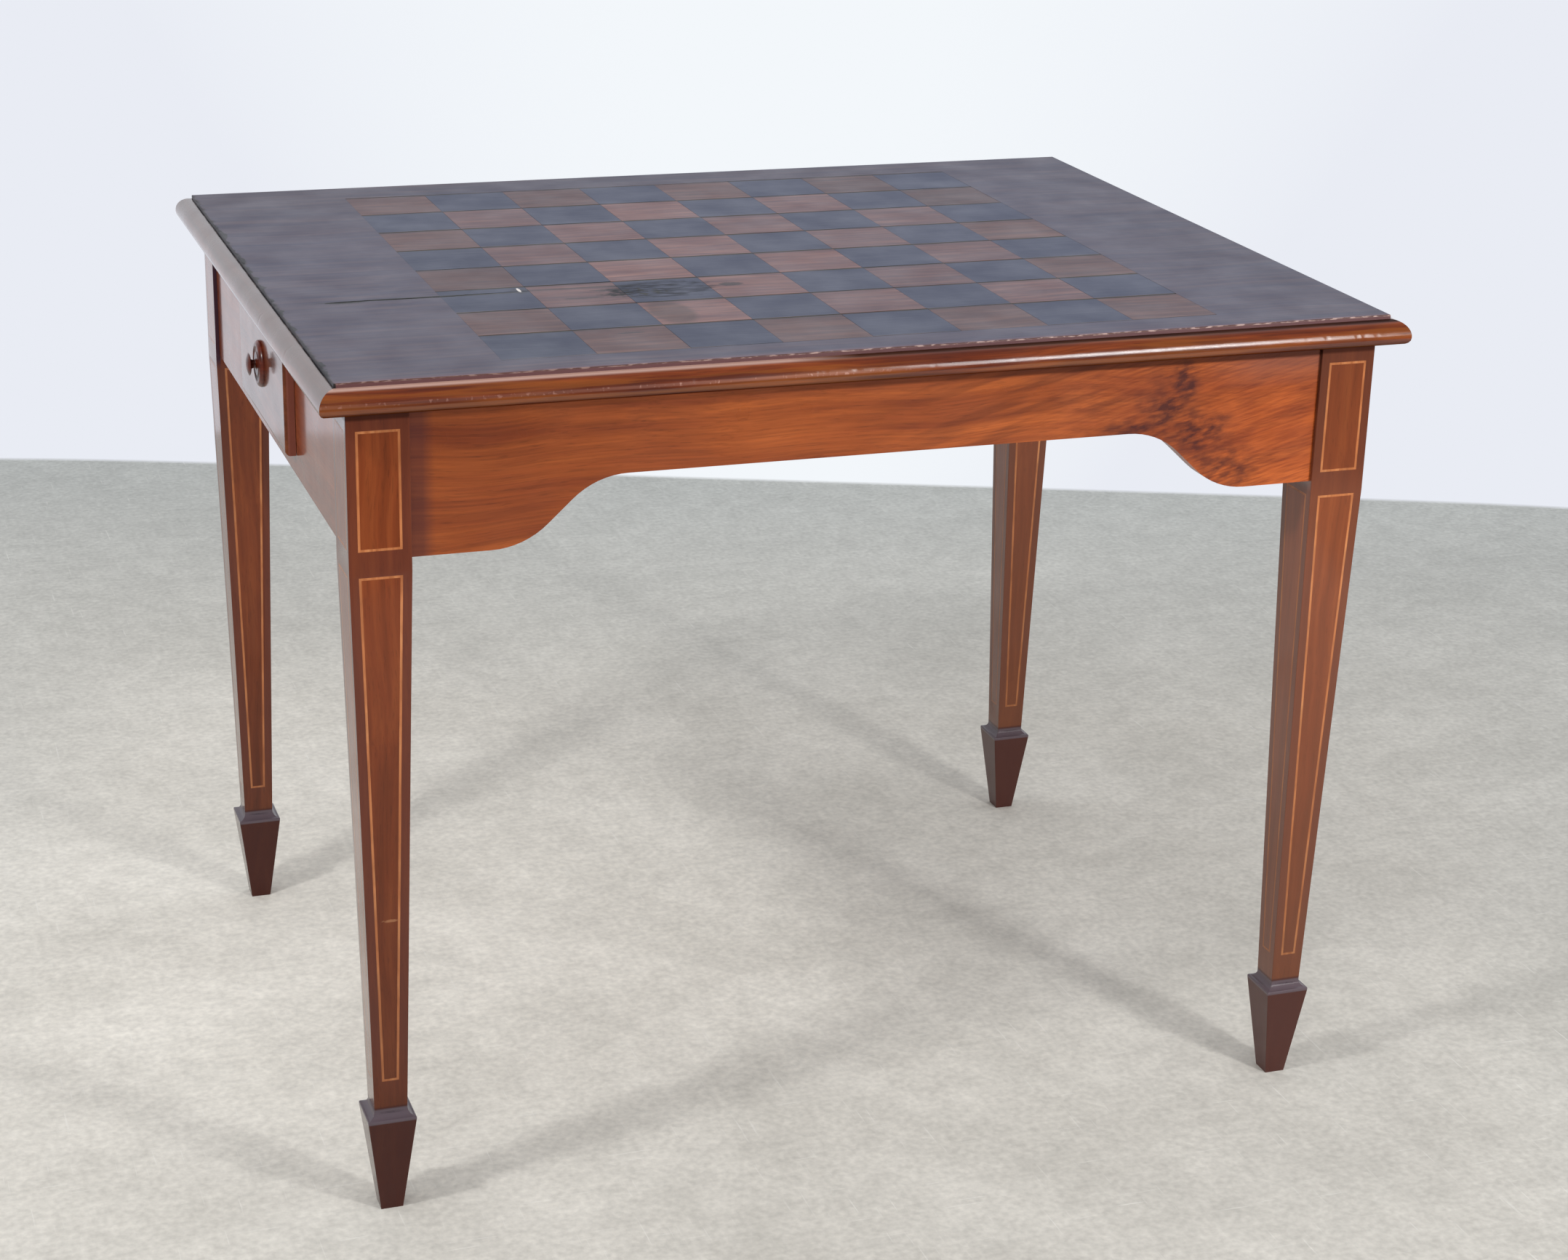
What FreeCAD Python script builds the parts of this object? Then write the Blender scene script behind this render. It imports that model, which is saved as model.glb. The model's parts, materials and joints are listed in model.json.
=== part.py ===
"""Chess table: inlaid top on four square tapered legs, with one drawer in the left end.

Millimetres. +Z is up, the floor is z = 0 and the origin is under the middle of the top.
The long front side faces -Y and the drawer end faces -X.
"""
import FreeCAD, Part
import math
import os

V = FreeCAD.Vector

# ---- top -------------------------------------------------------------------------------------
table_height = 730.0
surround_x = 143.0            # from a centred board to the edge of the raised field, along X
surround_y = 43.0             # the same along Y
top_thickness = 24.0
top_arris = 0.8               # softened edge of the raised field
riser = 3.6                   # height of the raised field above the moulding
moulding_projection = 14.0
moulding_nose = 1.0           # upright band at the nose of the moulding
moulding_under_round = 6.0

# ---- board -----------------------------------------------------------------------------------
square_size = 77.5
squares_per_side = 8
square_thickness = 2.0
board_offset_x = -3.5         # the board sits a little off the middle of the top
board_offset_y = -7.0

# ---- legs ------------------------------------------------------------------------------------
leg_size = 50.0
leg_inset_x = 9.0             # leg face inside the edge of the raised field
leg_inset_y = 5.5
knee_below_apron = 10.0       # the taper starts here
neck_size = 28.0
spade_size = 41.0
spade_height = 88.0
spade_lip = 1.6
spade_arris = 0.5
spade_cove = 6.5
foot_size = 19.0

# ---- stringing in the legs -------------------------------------------------------------------
string_width = 2.0
string_depth = 1.5
string_margin = 7.5           # from the edge of the leg to the outside of the line
string_groove_overcut = 0.5
string_below_top = 16.5       # block panel, from the underside of the top
string_above_knee = 18.3
string_below_knee = 3.0       # long panel on the taper
string_above_neck = 27.4

# ---- aprons ----------------------------------------------------------------------------------
apron_thickness = 20.0
apron_recess = 3.5            # apron face behind the leg face
apron_below_drawer = 29.0     # rail under the drawer sides
arch_rise = 55.0
arch_start = 64.0             # from the leg to where the ogee leaves the bottom edge
arch_run = 112.0              # from there to the level middle
arch_slope = math.radians(43.0)
tenon_thickness = 8.0
tenon_tip_gap = 4.5           # between the two tenons that meet in a leg
tenon_shoulder_low = 12.0
tenon_shoulder_high = 10.0
mortise_end_gap = 1.0

# ---- drawer ----------------------------------------------------------------------------------
drawer_width = 204.0          # over the sides
drawer_height = 76.0          # of the sides
drawer_drop = 17.0            # top of the sides below the underside of the top
drawer_length = 265.0         # sides, behind the front
drawer_side_thickness = 10.0
drawer_back_thickness = 9.0
drawer_back_lowered = 3.0     # top of the back below the top of the sides
drawer_bottom_thickness = 5.0
drawer_bottom_raised = 5.0    # underside of the bottom above the lower edge of the sides
drawer_groove = 4.0
drawer_bottom_overhang = 2.0  # bottom runs on behind the back
front_tongue = 12.0           # part of the front inside the opening
front_lip = 8.8               # part of the front outside the opening
front_lip_round = 4.0
lip_cover_side = 9.0
lip_cover_high = 11.0
lip_cover_low = 11.0
tail_length = 9.0
tail_slope = 1.0 / 7.0
front_tails = 3
back_tails = 2
tail_share = 0.62             # tail width at its tip, as a share of the pitch
slide_gap = 0.5               # beside and above the drawer
rest_gap = 0.3                # under the sides and behind the lip

# ---- knob ------------------------------------------------------------------------------------
rosette_diameter = 41.0
rosette_thickness = 4.2
rosette_rim = 1.4
rosette_bead = 1.2
knob_diameter = 20.0
knob_projection = 13.0        # from the face of the drawer front
knob_above_middle = 3.0       # of the drawer front
knob_neck_diameter = 8.4
knob_cap_thickness = 3.6
knob_spigot_diameter = 8.0
knob_spigot_gap = 0.05
knob_spigot_short = 1.0

# ---- turned profiles, as shares ----------------------------------------------------------------
rosette_shoulder = 0.76       # of the rosette's radius
rosette_dish = 0.5
rosette_bulge = (0.82, 0.93)  # of its thickness and of its radius
neck_foot = 1.25              # of the knob's neck radius
neck_waist = 0.88
neck_head = 1.35
cap_hollow = 0.82             # of the knob's radius
cap_edge_share = 0.3          # of the cap's thickness
cap_hollow_depth = 0.15       # this one is a length

# ---- drawer carcase --------------------------------------------------------------------------
runner_width = 24.0
runner_height = 20.0
runner_housing = 6.0
runner_under_side = 12.0      # runner reaches this far in from the outside of the drawer side
guide_width = 12.0
guide_height = 14.0
kicker_width = 22.0
cross_rail_thickness = 18.0
cross_rail_behind = 11.5      # behind the drawer bottom
cross_rail_housing = 6.0
cross_rail_raised = 2.0       # its ends above the crown of the arch
cross_rail_margin = 16.0      # its dropped middle, outside the runners

# ---- blocks and screws -----------------------------------------------------------------------
corner_block_reach = 74.0     # along each apron, from the leg
corner_block_height = 30.0
corner_block_raised = 36.0    # above the bottom edge of the apron
glue_block_length = 60.0
glue_block_size = 18.0
glue_block_chamfer = 8.0
screw_radius = 2.2
screw_head_radius = 4.4
screw_head_height = 2.4
screw_slot_width = 1.0
screw_slot_depth = 1.1
screw_point = 4.0
screw_tip_share = 0.2         # of the shank's radius
screw_crown_share = 0.7       # of the head's radius
screw_bore_beyond = 0.5
screw_hole_gap = 0.3
screw_bite_gap = 0.02
pocket_radius = 5.5
pocket_tilt = math.radians(15.0)
pocket_seat = 30.0            # from the top edge of the apron down to the screw head
pocket_run = 60.0
pocket_bite = 13.0            # screw in the top
kicker_bite = 9.0
kicker_screw_in = 50.0        # from each end of the kicker
kicker_sink = 4.0             # heads sunk into the kicker
bottom_screw_radius = 1.5
bottom_screw_bite = 12.0
bottom_screw_head_share = 2.0  # of its shank's radius
bottom_screw_y = 55.0

# ---- places of blocks and screws, as shares of the clear length that they stand in -------------
drawer_bay_blocks = (0.5,)
drawer_bay_screws = (0.8,)
open_bay_blocks = (0.1, 0.4, 0.75)
open_bay_screws = (0.25, 0.6)
end_block = 0.6
end_screw = 0.25

cutter_past = 1.0             # cutters run this far past a face

# ---- levels and planes worked out from the sizes above ----------------------------------------
board_side = square_size * squares_per_side
top_length = board_side + 2 * surround_x
top_width = board_side + 2 * surround_y
top_under = table_height - top_thickness
drawer_high = top_under - drawer_drop
drawer_low = drawer_high - drawer_height
apron_low = drawer_low - apron_below_drawer
knee_height = apron_low - knee_below_apron
neck_height = spade_height + spade_lip + spade_arris + spade_cove
leg_face_x = top_length / 2 - leg_inset_x
leg_face_y = top_width / 2 - leg_inset_y
leg_mid_x = leg_face_x - leg_size / 2
leg_mid_y = leg_face_y - leg_size / 2
leg_in_x = leg_face_x - leg_size
leg_in_y = leg_face_y - leg_size
apron_out_x = leg_face_x - apron_recess
apron_out_y = leg_face_y - apron_recess
apron_in_x = apron_out_x - apron_thickness
apron_in_y = apron_out_y - apron_thickness
tenon_length = leg_size - apron_recess - (apron_thickness + tenon_thickness) / 2 - tenon_tip_gap
arch_foot_x = leg_in_x - arch_start
arch_crown_x = arch_foot_x - arch_run
drawer_half = drawer_width / 2
opening_half = drawer_half + slide_gap
opening_low = drawer_low - rest_gap
opening_high = drawer_high + slide_gap
lip_back_x = -apron_out_x - rest_gap
lip_face_x = lip_back_x - front_lip
tongue_back_x = -apron_out_x + front_tongue
drawer_end_x = tongue_back_x + drawer_length
cross_rail_x = drawer_end_x + drawer_bottom_overhang + cross_rail_behind
bottom_low = drawer_low + drawer_bottom_raised
bottom_high = bottom_low + drawer_bottom_thickness
lip_low = drawer_low - lip_cover_low
lip_high = drawer_high + lip_cover_high
knob_z = (lip_low + lip_high) / 2 + knob_above_middle
corners = {
    "front_left": (-1, -1),
    "front_right": (1, -1),
    "back_left": (-1, 1),
    "back_right": (1, 1),
}


def box(x0, x1, y0, y1, z0, z1):
    """Box between two limits on each axis, given in either order."""
    low = V(min(x0, x1), min(y0, y1), min(z0, z1))
    return Part.makeBox(abs(x1 - x0), abs(y1 - y0), abs(z1 - z0), low)


def prism(points, sweep):
    """Flat polygon of points, swept along a vector."""
    return Part.Face(Part.makePolygon(points + [points[0]])).extrude(sweep)


def swept(edges, sweep):
    """Closed outline of edges, swept along a vector."""
    return Part.Face(Part.Wire(edges)).extrude(sweep)


def line(a, b):
    return Part.makeLine(a, b)


def arc(a, middle, b):
    return Part.Arc(a, middle, b).toShape()


def one(shape):
    """Single solid with its split faces joined."""
    return shape.removeSplitter().Solids[0]


def save(name, shapes):
    """Write one node: a solid, or a list of separate solids."""
    shape = Part.makeCompound(shapes) if isinstance(shapes, list) else shapes
    shape.exportStep("parts/" + name + ".step")


# ---- top -------------------------------------------------------------------------------------
def board_corner():
    """Front left corner of the board of squares."""
    return board_offset_x - board_side / 2, board_offset_y - board_side / 2


def top_panel(screws):
    """Solid top: soft top arris, a recess for the squares, pilot holes for the screws."""
    x, y = top_length / 2, top_width / 2
    panel = box(-x, x, -y, y, top_under, table_height)
    rim = [e for e in panel.Edges if e.CenterOfMass.z > table_height - top_arris]
    panel = panel.makeFillet(top_arris, rim)
    x0, y0 = board_corner()
    low = table_height - square_thickness
    panel = panel.cut(box(x0, x0 + board_side, y0, y0 + board_side, low, table_height + cutter_past))
    for head, direction, length in screws:
        panel = panel.cut(screw_bore(head, direction, length, screw_radius + screw_bite_gap))
    return one(panel)


def squares(dark):
    """The squares of one colour, each a thin separate plate. The near left one is dark."""
    x0, y0 = board_corner()
    plates = []
    for column in range(squares_per_side):
        for row in range(squares_per_side):
            if ((column + row) % 2 == 0) == dark:
                x = x0 + column * square_size
                y = y0 + row * square_size
                low = table_height - square_thickness
                plates.append(box(x, x + square_size, y, y + square_size, low, table_height))
    return plates


def moulding(side_length, edge):
    """One length of moulding along X on the edge y = -edge, mitred at both ends."""
    low = top_under
    high = table_height - riser
    nose_low = low + moulding_under_round
    nose_high = nose_low + moulding_nose
    out = -edge - moulding_projection
    ovolo = high - nose_high
    half = side_length / 2 + moulding_projection

    def at(y, z):
        return V(-half, y, z)

    quarter = math.sqrt(0.5)
    ovolo_mid = at(-edge - moulding_projection * quarter, nose_high + ovolo * quarter)
    under_mid = at(out + moulding_under_round * (1 - quarter), low + moulding_under_round * (1 - quarter))
    outline = [
        line(at(-edge, low), at(-edge, high)),
        arc(at(-edge, high), ovolo_mid, at(out, nose_high)),
        line(at(out, nose_high), at(out, nose_low)),
        arc(at(out, nose_low), under_mid, at(out + moulding_under_round, low)),
        line(at(out + moulding_under_round, low), at(-edge, low)),
    ]
    length = swept(outline, V(2 * half, 0, 0))
    below = low - cutter_past
    mitre = [
        V(-side_length / 2, -edge, below),
        V(side_length / 2, -edge, below),
        V(half, out, below),
        V(-half, out, below),
    ]
    return one(length.common(prism(mitre, V(0, 0, top_thickness + 2 * cutter_past))))


def turned(shape, angle):
    """Shape turned about the table's upright axis."""
    return shape.rotated(V(0, 0, 0), V(0, 0, 1), angle)


# ---- legs ------------------------------------------------------------------------------------
def leg_outline(at):
    """Half outline of the leg from the foot to the top, as edges through at(half width, z)."""
    lip_low = at(spade_size / 2, spade_height)
    lip_high = at(spade_size / 2, spade_height + spade_lip)
    shoulder_half = spade_size / 2 - spade_arris
    shoulder_z = spade_height + spade_lip + spade_arris
    neck_half = neck_size / 2
    reach = shoulder_half - neck_half
    bend = 1 - math.sqrt(0.5)
    cove_mid = at(neck_half + reach * bend, neck_height - spade_cove * math.sqrt(0.5))
    knee = at(leg_size / 2, knee_height)
    return [
        line(at(foot_size / 2, 0), lip_low),
        line(lip_low, lip_high),
        line(lip_high, at(shoulder_half, shoulder_z)),
        arc(at(shoulder_half, shoulder_z), cove_mid, at(neck_half, neck_height)),
        line(at(neck_half, neck_height), knee),
        line(knee, at(leg_size / 2, top_under)),
    ]


def leg_side(across, sweep):
    """Leg outline in one upright plane, swept square across the leg."""
    start = sweep * -0.5

    def right(half, z):
        return across * half + V(0, 0, z) + start

    def left(half, z):
        return across * -half + V(0, 0, z) + start

    top = line(right(leg_size / 2, top_under), left(leg_size / 2, top_under))
    foot = line(left(foot_size / 2, 0), right(foot_size / 2, 0))
    edges = leg_outline(right) + [top] + leg_outline(left) + [foot]
    return swept(Part.__sortEdges__(edges), sweep)


def leg_blank():
    """Leg sawn to the same outline from two sides, on the origin."""
    width = leg_size + 2 * cutter_past
    return leg_side(V(1, 0, 0), V(0, width, 0)).common(leg_side(V(0, 1, 0), V(width, 0, 0)))


def leg_half(z):
    """Half width of the leg at a height above the spade foot."""
    if z >= knee_height:
        return leg_size / 2
    share = (z - neck_height) / (knee_height - neck_height)
    return neck_size / 2 + (leg_size - neck_size) / 2 * share


def panel_strips(normal, low, high, overcut):
    """Four mitred strips of one stringing panel on the leg face that looks along normal."""
    along = V(-normal.y, normal.x, 0)

    def corners_at(inset):
        rows = ((low + inset, -1), (low + inset, 1), (high - inset, 1), (high - inset, -1))
        points = []
        for z, side in rows:
            reach = leg_half(z) - string_margin - inset
            points.append(normal * (leg_half(z) + overcut) + along * (side * reach) + V(0, 0, z))
        return points

    outer = corners_at(0)
    inner = corners_at(string_width)
    strips = []
    for i in range(4):
        j = (i + 1) % 4
        quad = [outer[i], outer[j], inner[j], inner[i]]
        strips.append(prism(quad, normal * -(string_depth + overcut)))
    return strips


def leg_strips(sx, sy, overcut):
    """All stringing of one leg: long panels on four faces, block panels on the outward two."""
    outward = [V(sx, 0, 0), V(0, sy, 0)]
    inward = [V(-sx, 0, 0), V(0, -sy, 0)]
    taper_low, taper_high = neck_height + string_above_neck, knee_height - string_below_knee
    block_low, block_high = knee_height + string_above_knee, top_under - string_below_top
    strips = []
    for normal in outward + inward:
        strips += panel_strips(normal, taper_low, taper_high, overcut)
    for normal in outward:
        strips += panel_strips(normal, block_low, block_high, overcut)
    return strips


def leg(sx, sy):
    """One leg in place, grooved for its stringing and mortised for two aprons."""
    shape = leg_blank()
    for groove in leg_strips(sx, sy, string_groove_overcut):
        shape = shape.cut(groove)
    shape = shape.translated(V(sx * leg_mid_x, sy * leg_mid_y, 0))
    shape = shape.cut(long_tenon(sx, sy, mortise_end_gap))
    shape = shape.cut(end_tenon(sx, sy, mortise_end_gap))
    return one(shape)


def leg_stringing(sx, sy):
    place = V(sx * leg_mid_x, sy * leg_mid_y, 0)
    return [strip.translated(place) for strip in leg_strips(sx, sy, 0)]


# ---- aprons ----------------------------------------------------------------------------------
def tenon_levels():
    return apron_low + tenon_shoulder_low, top_under - tenon_shoulder_high


def long_tenon(sx, sy, extra):
    """Tenon of a long apron in the leg at one corner."""
    low, high = tenon_levels()
    face = apron_out_y - (apron_thickness - tenon_thickness) / 2
    x0, x1 = sx * leg_in_x, sx * (leg_in_x + tenon_length + extra)
    return box(x0, x1, sy * face, sy * (face - tenon_thickness), low, high)


def end_tenon(sx, sy, extra):
    """Tenon of an end apron in the leg at one corner."""
    low, high = tenon_levels()
    face = apron_out_x - (apron_thickness - tenon_thickness) / 2
    y0, y1 = sy * leg_in_y, sy * (leg_in_y + tenon_length + extra)
    return box(sx * face, sx * (face - tenon_thickness), y0, y1, low, high)


def arch_edges(side, y):
    """Ogee from the bottom edge up to the level middle, on one side of the apron."""
    run = arch_foot_x - arch_crown_x
    rise_s, rise_c = math.sin(arch_slope), math.cos(arch_slope)
    radius = (run * rise_s - arch_rise * rise_c) / (2 * (1 - rise_c))
    half = arch_slope / 2
    crown_z = apron_low + arch_rise

    def at(x, z):
        return V(side * x, y, z)

    foot = at(arch_foot_x, apron_low)
    foot_mid = at(arch_foot_x - radius * math.sin(half), apron_low + radius * (1 - math.cos(half)))
    foot_end = at(arch_foot_x - radius * rise_s, apron_low + radius * (1 - rise_c))
    crown_end = at(arch_crown_x + radius * rise_s, crown_z - radius * (1 - rise_c))
    crown_mid = at(arch_crown_x + radius * math.sin(half), crown_z - radius * (1 - math.cos(half)))
    crown = at(arch_crown_x, crown_z)
    return [arc(foot, foot_mid, foot_end), line(foot_end, crown_end), arc(crown_end, crown_mid, crown)]


def long_apron(sy):
    """Front or back apron: arched below, tenoned at both ends, bored for pocket screws."""
    y = sy * apron_out_y
    crown_z = apron_low + arch_rise
    edges = arch_edges(-1, y) + arch_edges(1, y)
    edges.append(line(V(-arch_crown_x, y, crown_z), V(arch_crown_x, y, crown_z)))
    for side in (-1, 1):
        edges.append(line(V(side * arch_foot_x, y, apron_low), V(side * leg_in_x, y, apron_low)))
        edges.append(line(V(side * leg_in_x, y, apron_low), V(side * leg_in_x, y, top_under)))
    edges.append(line(V(-leg_in_x, y, top_under), V(leg_in_x, y, top_under)))
    shape = swept(Part.__sortEdges__(edges), V(0, -sy * apron_thickness, 0))
    for sx in (-1, 1):
        shape = shape.fuse(long_tenon(sx, sy, 0))
    shape = shape.cut(cross_rail_blank())
    for screw in long_pocket_screws(sy):
        shape = cut_pocket(shape, screw)
    return one(shape)


def end_apron(sx):
    """End apron: level below and tenoned at both ends."""
    shape = box(sx * apron_out_x, sx * apron_in_x, -leg_in_y, leg_in_y, apron_low, top_under)
    for sy in (-1, 1):
        shape = shape.fuse(end_tenon(sx, sy, 0))
    for screw in end_pocket_screws(sx):
        shape = cut_pocket(shape, screw)
    return one(shape)


def drawer_end_apron():
    """Left end apron with the opening for the drawer, housed for the runners."""
    x0, x1 = -apron_out_x - cutter_past, -apron_in_x + cutter_past
    opening = box(x0, x1, -opening_half, opening_half, opening_low, opening_high)
    shape = end_apron(-1).cut(opening)
    for sy in (-1, 1):
        shape = shape.cut(drawer_runner(sy))
    return one(shape)


# ---- places of blocks and screws -------------------------------------------------------------
def along_bays(drawer_bay, open_bay):
    """Places along X: shares of the drawer's bay, then of the open bay behind the cross rail."""
    drawer_bay_length = cross_rail_x + apron_in_x
    open_start = cross_rail_x + cross_rail_thickness
    places = [-apron_in_x + drawer_bay_length * share for share in drawer_bay]
    return places + [open_start + (apron_in_x - open_start) * share for share in open_bay]


def along_end(share):
    """Place along Y between the drawer opening and a leg."""
    return opening_half + (leg_in_y - opening_half) * share


# ---- screws ----------------------------------------------------------------------------------
# A screw is (point under its head, direction it drives in, length below the head).
def screw_bore(head, direction, length, radius):
    return Part.makeCylinder(radius, length + screw_bore_beyond, head, direction)


def screw_solid(head, direction, length, radius, head_radius):
    """Slotted round-head wood screw."""
    shank = Part.makeCylinder(radius, length - screw_point, head, direction)
    point_start = head + direction * (length - screw_point)
    point = Part.makeCone(radius, radius * screw_tip_share, screw_point, point_start, direction)
    crown = head_radius * screw_crown_share
    cap = Part.makeCone(head_radius, crown, screw_head_height, head, direction * -1)
    across = direction.cross(V(1, 0, 0) if abs(direction.x) < 0.5 else V(0, 1, 0))
    across.normalize()
    side = direction.cross(across)
    corner = head - direction * (screw_head_height - screw_slot_depth)
    half = side * (screw_slot_width / 2)
    reach = across * (head_radius + cutter_past)
    quad = [corner - half - reach, corner + half - reach, corner + half + reach, corner - half + reach]
    slot = prism(quad, direction * -(screw_slot_depth + cutter_past))
    return one(shank.fuse(point).fuse(cap).cut(slot))


def long_pocket_screws(sy):
    """Slanting screws through a long apron into the top."""
    tilt_y = sy * math.sin(pocket_tilt)
    direction = V(0, tilt_y, math.cos(pocket_tilt))
    middle = sy * (apron_out_y - apron_thickness / 2)
    screws = []
    for x in along_bays(drawer_bay_screws, open_bay_screws):
        head = V(x, middle, top_under) - direction * pocket_seat
        screws.append((head, direction, pocket_seat + pocket_bite))
    return screws


def end_pocket_screws(sx):
    """Slanting screws through an end apron into the top."""
    direction = V(sx * math.sin(pocket_tilt), 0, math.cos(pocket_tilt))
    middle = sx * (apron_out_x - apron_thickness / 2)
    screws = []
    for side in (-1, 1):
        head = V(middle, side * along_end(end_screw), top_under) - direction * pocket_seat
        screws.append((head, direction, pocket_seat + pocket_bite))
    return screws


def all_pocket_screws():
    long_ones = long_pocket_screws(-1) + long_pocket_screws(1)
    return long_ones + end_pocket_screws(-1) + end_pocket_screws(1)


def cut_pocket(shape, screw):
    """Clearance hole for the shank and the open pocket below the head."""
    head, direction, _ = screw
    hole = Part.makeCylinder(screw_radius + screw_hole_gap, pocket_run, head, direction)
    pocket = Part.makeCylinder(pocket_radius, pocket_run, head, direction * -1)
    return shape.cut(hole).cut(pocket)


def kicker_screws(sy):
    """Upright screws through one kicker into the top, their heads sunk."""
    seat = opening_high + kicker_sink
    y = sy * (opening_half - kicker_width / 2)
    ends = (-apron_in_x + kicker_screw_in, cross_rail_x - kicker_screw_in)
    return [(V(x, y, seat), V(0, 0, 1), top_under - seat + kicker_bite) for x in ends]


def bottom_screws():
    """Small screws up through the drawer bottom into the drawer back."""
    x = drawer_end_x - drawer_back_thickness / 2
    length = drawer_bottom_thickness + bottom_screw_bite
    return [(V(x, y, bottom_low), V(0, 0, 1), length) for y in (-bottom_screw_y, bottom_screw_y)]


# ---- drawer carcase --------------------------------------------------------------------------
def drawer_runner(sy):
    """Runner under one side of the drawer, housed in the end apron and the cross rail."""
    inner = drawer_half - runner_under_side
    x0 = -apron_in_x - runner_housing
    x1 = cross_rail_x + runner_housing
    y0, y1 = sy * inner, sy * (inner + runner_width)
    return box(x0, x1, y0, y1, opening_low - runner_height, opening_low)


def cross_rail_blank():
    """Rail from apron to apron behind the drawer; its middle drops to carry the runners."""
    end_y = apron_in_y + cross_rail_housing
    end_low = apron_low + arch_rise + cross_rail_raised
    drop_y = drawer_half - runner_under_side + runner_width + cross_rail_margin
    drop_low = opening_low - runner_height
    outline = [
        (-end_y, end_low), (-drop_y, end_low), (-drop_y, drop_low), (drop_y, drop_low),
        (drop_y, end_low), (end_y, end_low), (end_y, top_under), (-end_y, top_under),
    ]
    return prism([V(cross_rail_x, y, z) for y, z in outline], V(cross_rail_thickness, 0, 0))


def drawer_cross_rail():
    shape = cross_rail_blank()
    for sy in (-1, 1):
        shape = shape.cut(drawer_runner(sy))
    return one(shape)


def drawer_guide(sy):
    """Strip on the runner that keeps the drawer straight."""
    y0, y1 = sy * opening_half, sy * (opening_half + guide_width)
    return box(-apron_in_x, cross_rail_x, y0, y1, opening_low, opening_low + guide_height)


def drawer_kicker(sy):
    """Strip under the top that keeps the drawer from tipping."""
    y0, y1 = sy * opening_half, sy * (opening_half - kicker_width)
    shape = box(-apron_in_x, cross_rail_x, y0, y1, opening_high, top_under)
    for head, direction, length in kicker_screws(sy):
        shape = shape.cut(screw_bore(head, direction, length, screw_radius + screw_hole_gap))
        sink = Part.makeCylinder(
            screw_head_radius + screw_hole_gap, kicker_sink + cutter_past, head, direction * -1)
        shape = shape.cut(sink)
    return one(shape)


def corner_block(sx, sy):
    """Brace glued across one corner, between the two aprons and round the leg."""
    low = apron_low + corner_block_raised
    points = [
        V(sx * leg_in_x, sy * apron_in_y, low),
        V(sx * (leg_in_x - corner_block_reach), sy * apron_in_y, low),
        V(sx * apron_in_x, sy * (leg_in_y - corner_block_reach), low),
        V(sx * apron_in_x, sy * leg_in_y, low),
        V(sx * leg_in_x, sy * leg_in_y, low),
    ]
    return prism(points, V(0, 0, corner_block_height))


def glue_block(face, inward, middle):
    """Block rubbed into the angle of an apron and the top; its outer corner is taken off."""
    along = V(-inward.y, inward.x, 0)
    start = inward * -face + along * (middle - glue_block_length / 2)

    def at(out, down):
        return start + inward * out + V(0, 0, top_under - down)

    short = glue_block_size - glue_block_chamfer
    points = [at(0, 0), at(glue_block_size, 0), at(glue_block_size, short)]
    points += [at(short, glue_block_size), at(0, glue_block_size)]
    return prism(points, along * glue_block_length)


def glue_blocks():
    blocks = []
    for s in (-1, 1):
        for x in along_bays(drawer_bay_blocks, open_bay_blocks):
            blocks.append(glue_block(apron_in_y, V(0, -s, 0), s * x))
        for side in (-1, 1):
            blocks.append(glue_block(apron_in_x, V(-s, 0, 0), side * along_end(end_block)))
    return blocks


# ---- drawer ----------------------------------------------------------------------------------
def tails(root_x, tip_x, low, high, count, sy):
    """Dovetails of one drawer side, seen from the side and cut through its thickness."""
    pitch = (high - low) / count
    length = abs(tip_x - root_x)
    tip_half = pitch * tail_share / 2
    root_half = tip_half - length * tail_slope
    shapes = []
    for i in range(count):
        middle = low + pitch * (i + 0.5)
        y = sy * drawer_half
        points = [
            V(root_x, y, middle - root_half),
            V(tip_x, y, middle - tip_half),
            V(tip_x, y, middle + tip_half),
            V(root_x, y, middle + root_half),
        ]
        shapes.append(prism(points, V(0, -sy * drawer_side_thickness, 0)))
    return shapes


def front_joint(sy):
    return tails(tongue_back_x, tongue_back_x - tail_length, drawer_low, drawer_high, front_tails, sy)


def back_joint(sy):
    root = drawer_end_x - drawer_back_thickness
    return tails(root, drawer_end_x, bottom_high, drawer_high - drawer_back_lowered, back_tails, sy)


def drawer_bottom():
    """Thin bottom, slid in from behind and screwed up into the back."""
    half = drawer_half - drawer_side_thickness + drawer_groove
    x0 = tongue_back_x - drawer_groove
    shape = box(x0, drawer_end_x + drawer_bottom_overhang, -half, half, bottom_low, bottom_high)
    for head, direction, length in bottom_screws():
        shape = shape.cut(screw_bore(head, direction, length, bottom_screw_radius + screw_bite_gap))
    return one(shape)


def drawer_groove_room():
    """Space of the bottom, without its screw holes, for the grooves that hold it."""
    half = drawer_half - drawer_side_thickness + drawer_groove
    x0 = tongue_back_x - drawer_groove
    return box(x0, drawer_end_x + drawer_bottom_overhang, -half, half, bottom_low, bottom_high)


def drawer_side(sy):
    """Drawer side with its tails and the groove for the bottom."""
    root = drawer_end_x - drawer_back_thickness
    y0, y1 = sy * drawer_half, sy * (drawer_half - drawer_side_thickness)
    shape = box(tongue_back_x, root, y0, y1, drawer_low, drawer_high)
    foot = box(root, drawer_end_x, y0, y1, drawer_low, bottom_high)
    shape = shape.fuse(foot)
    for tail in front_joint(sy) + back_joint(sy):
        shape = shape.fuse(tail)
    return one(shape.cut(drawer_groove_room()))


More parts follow.
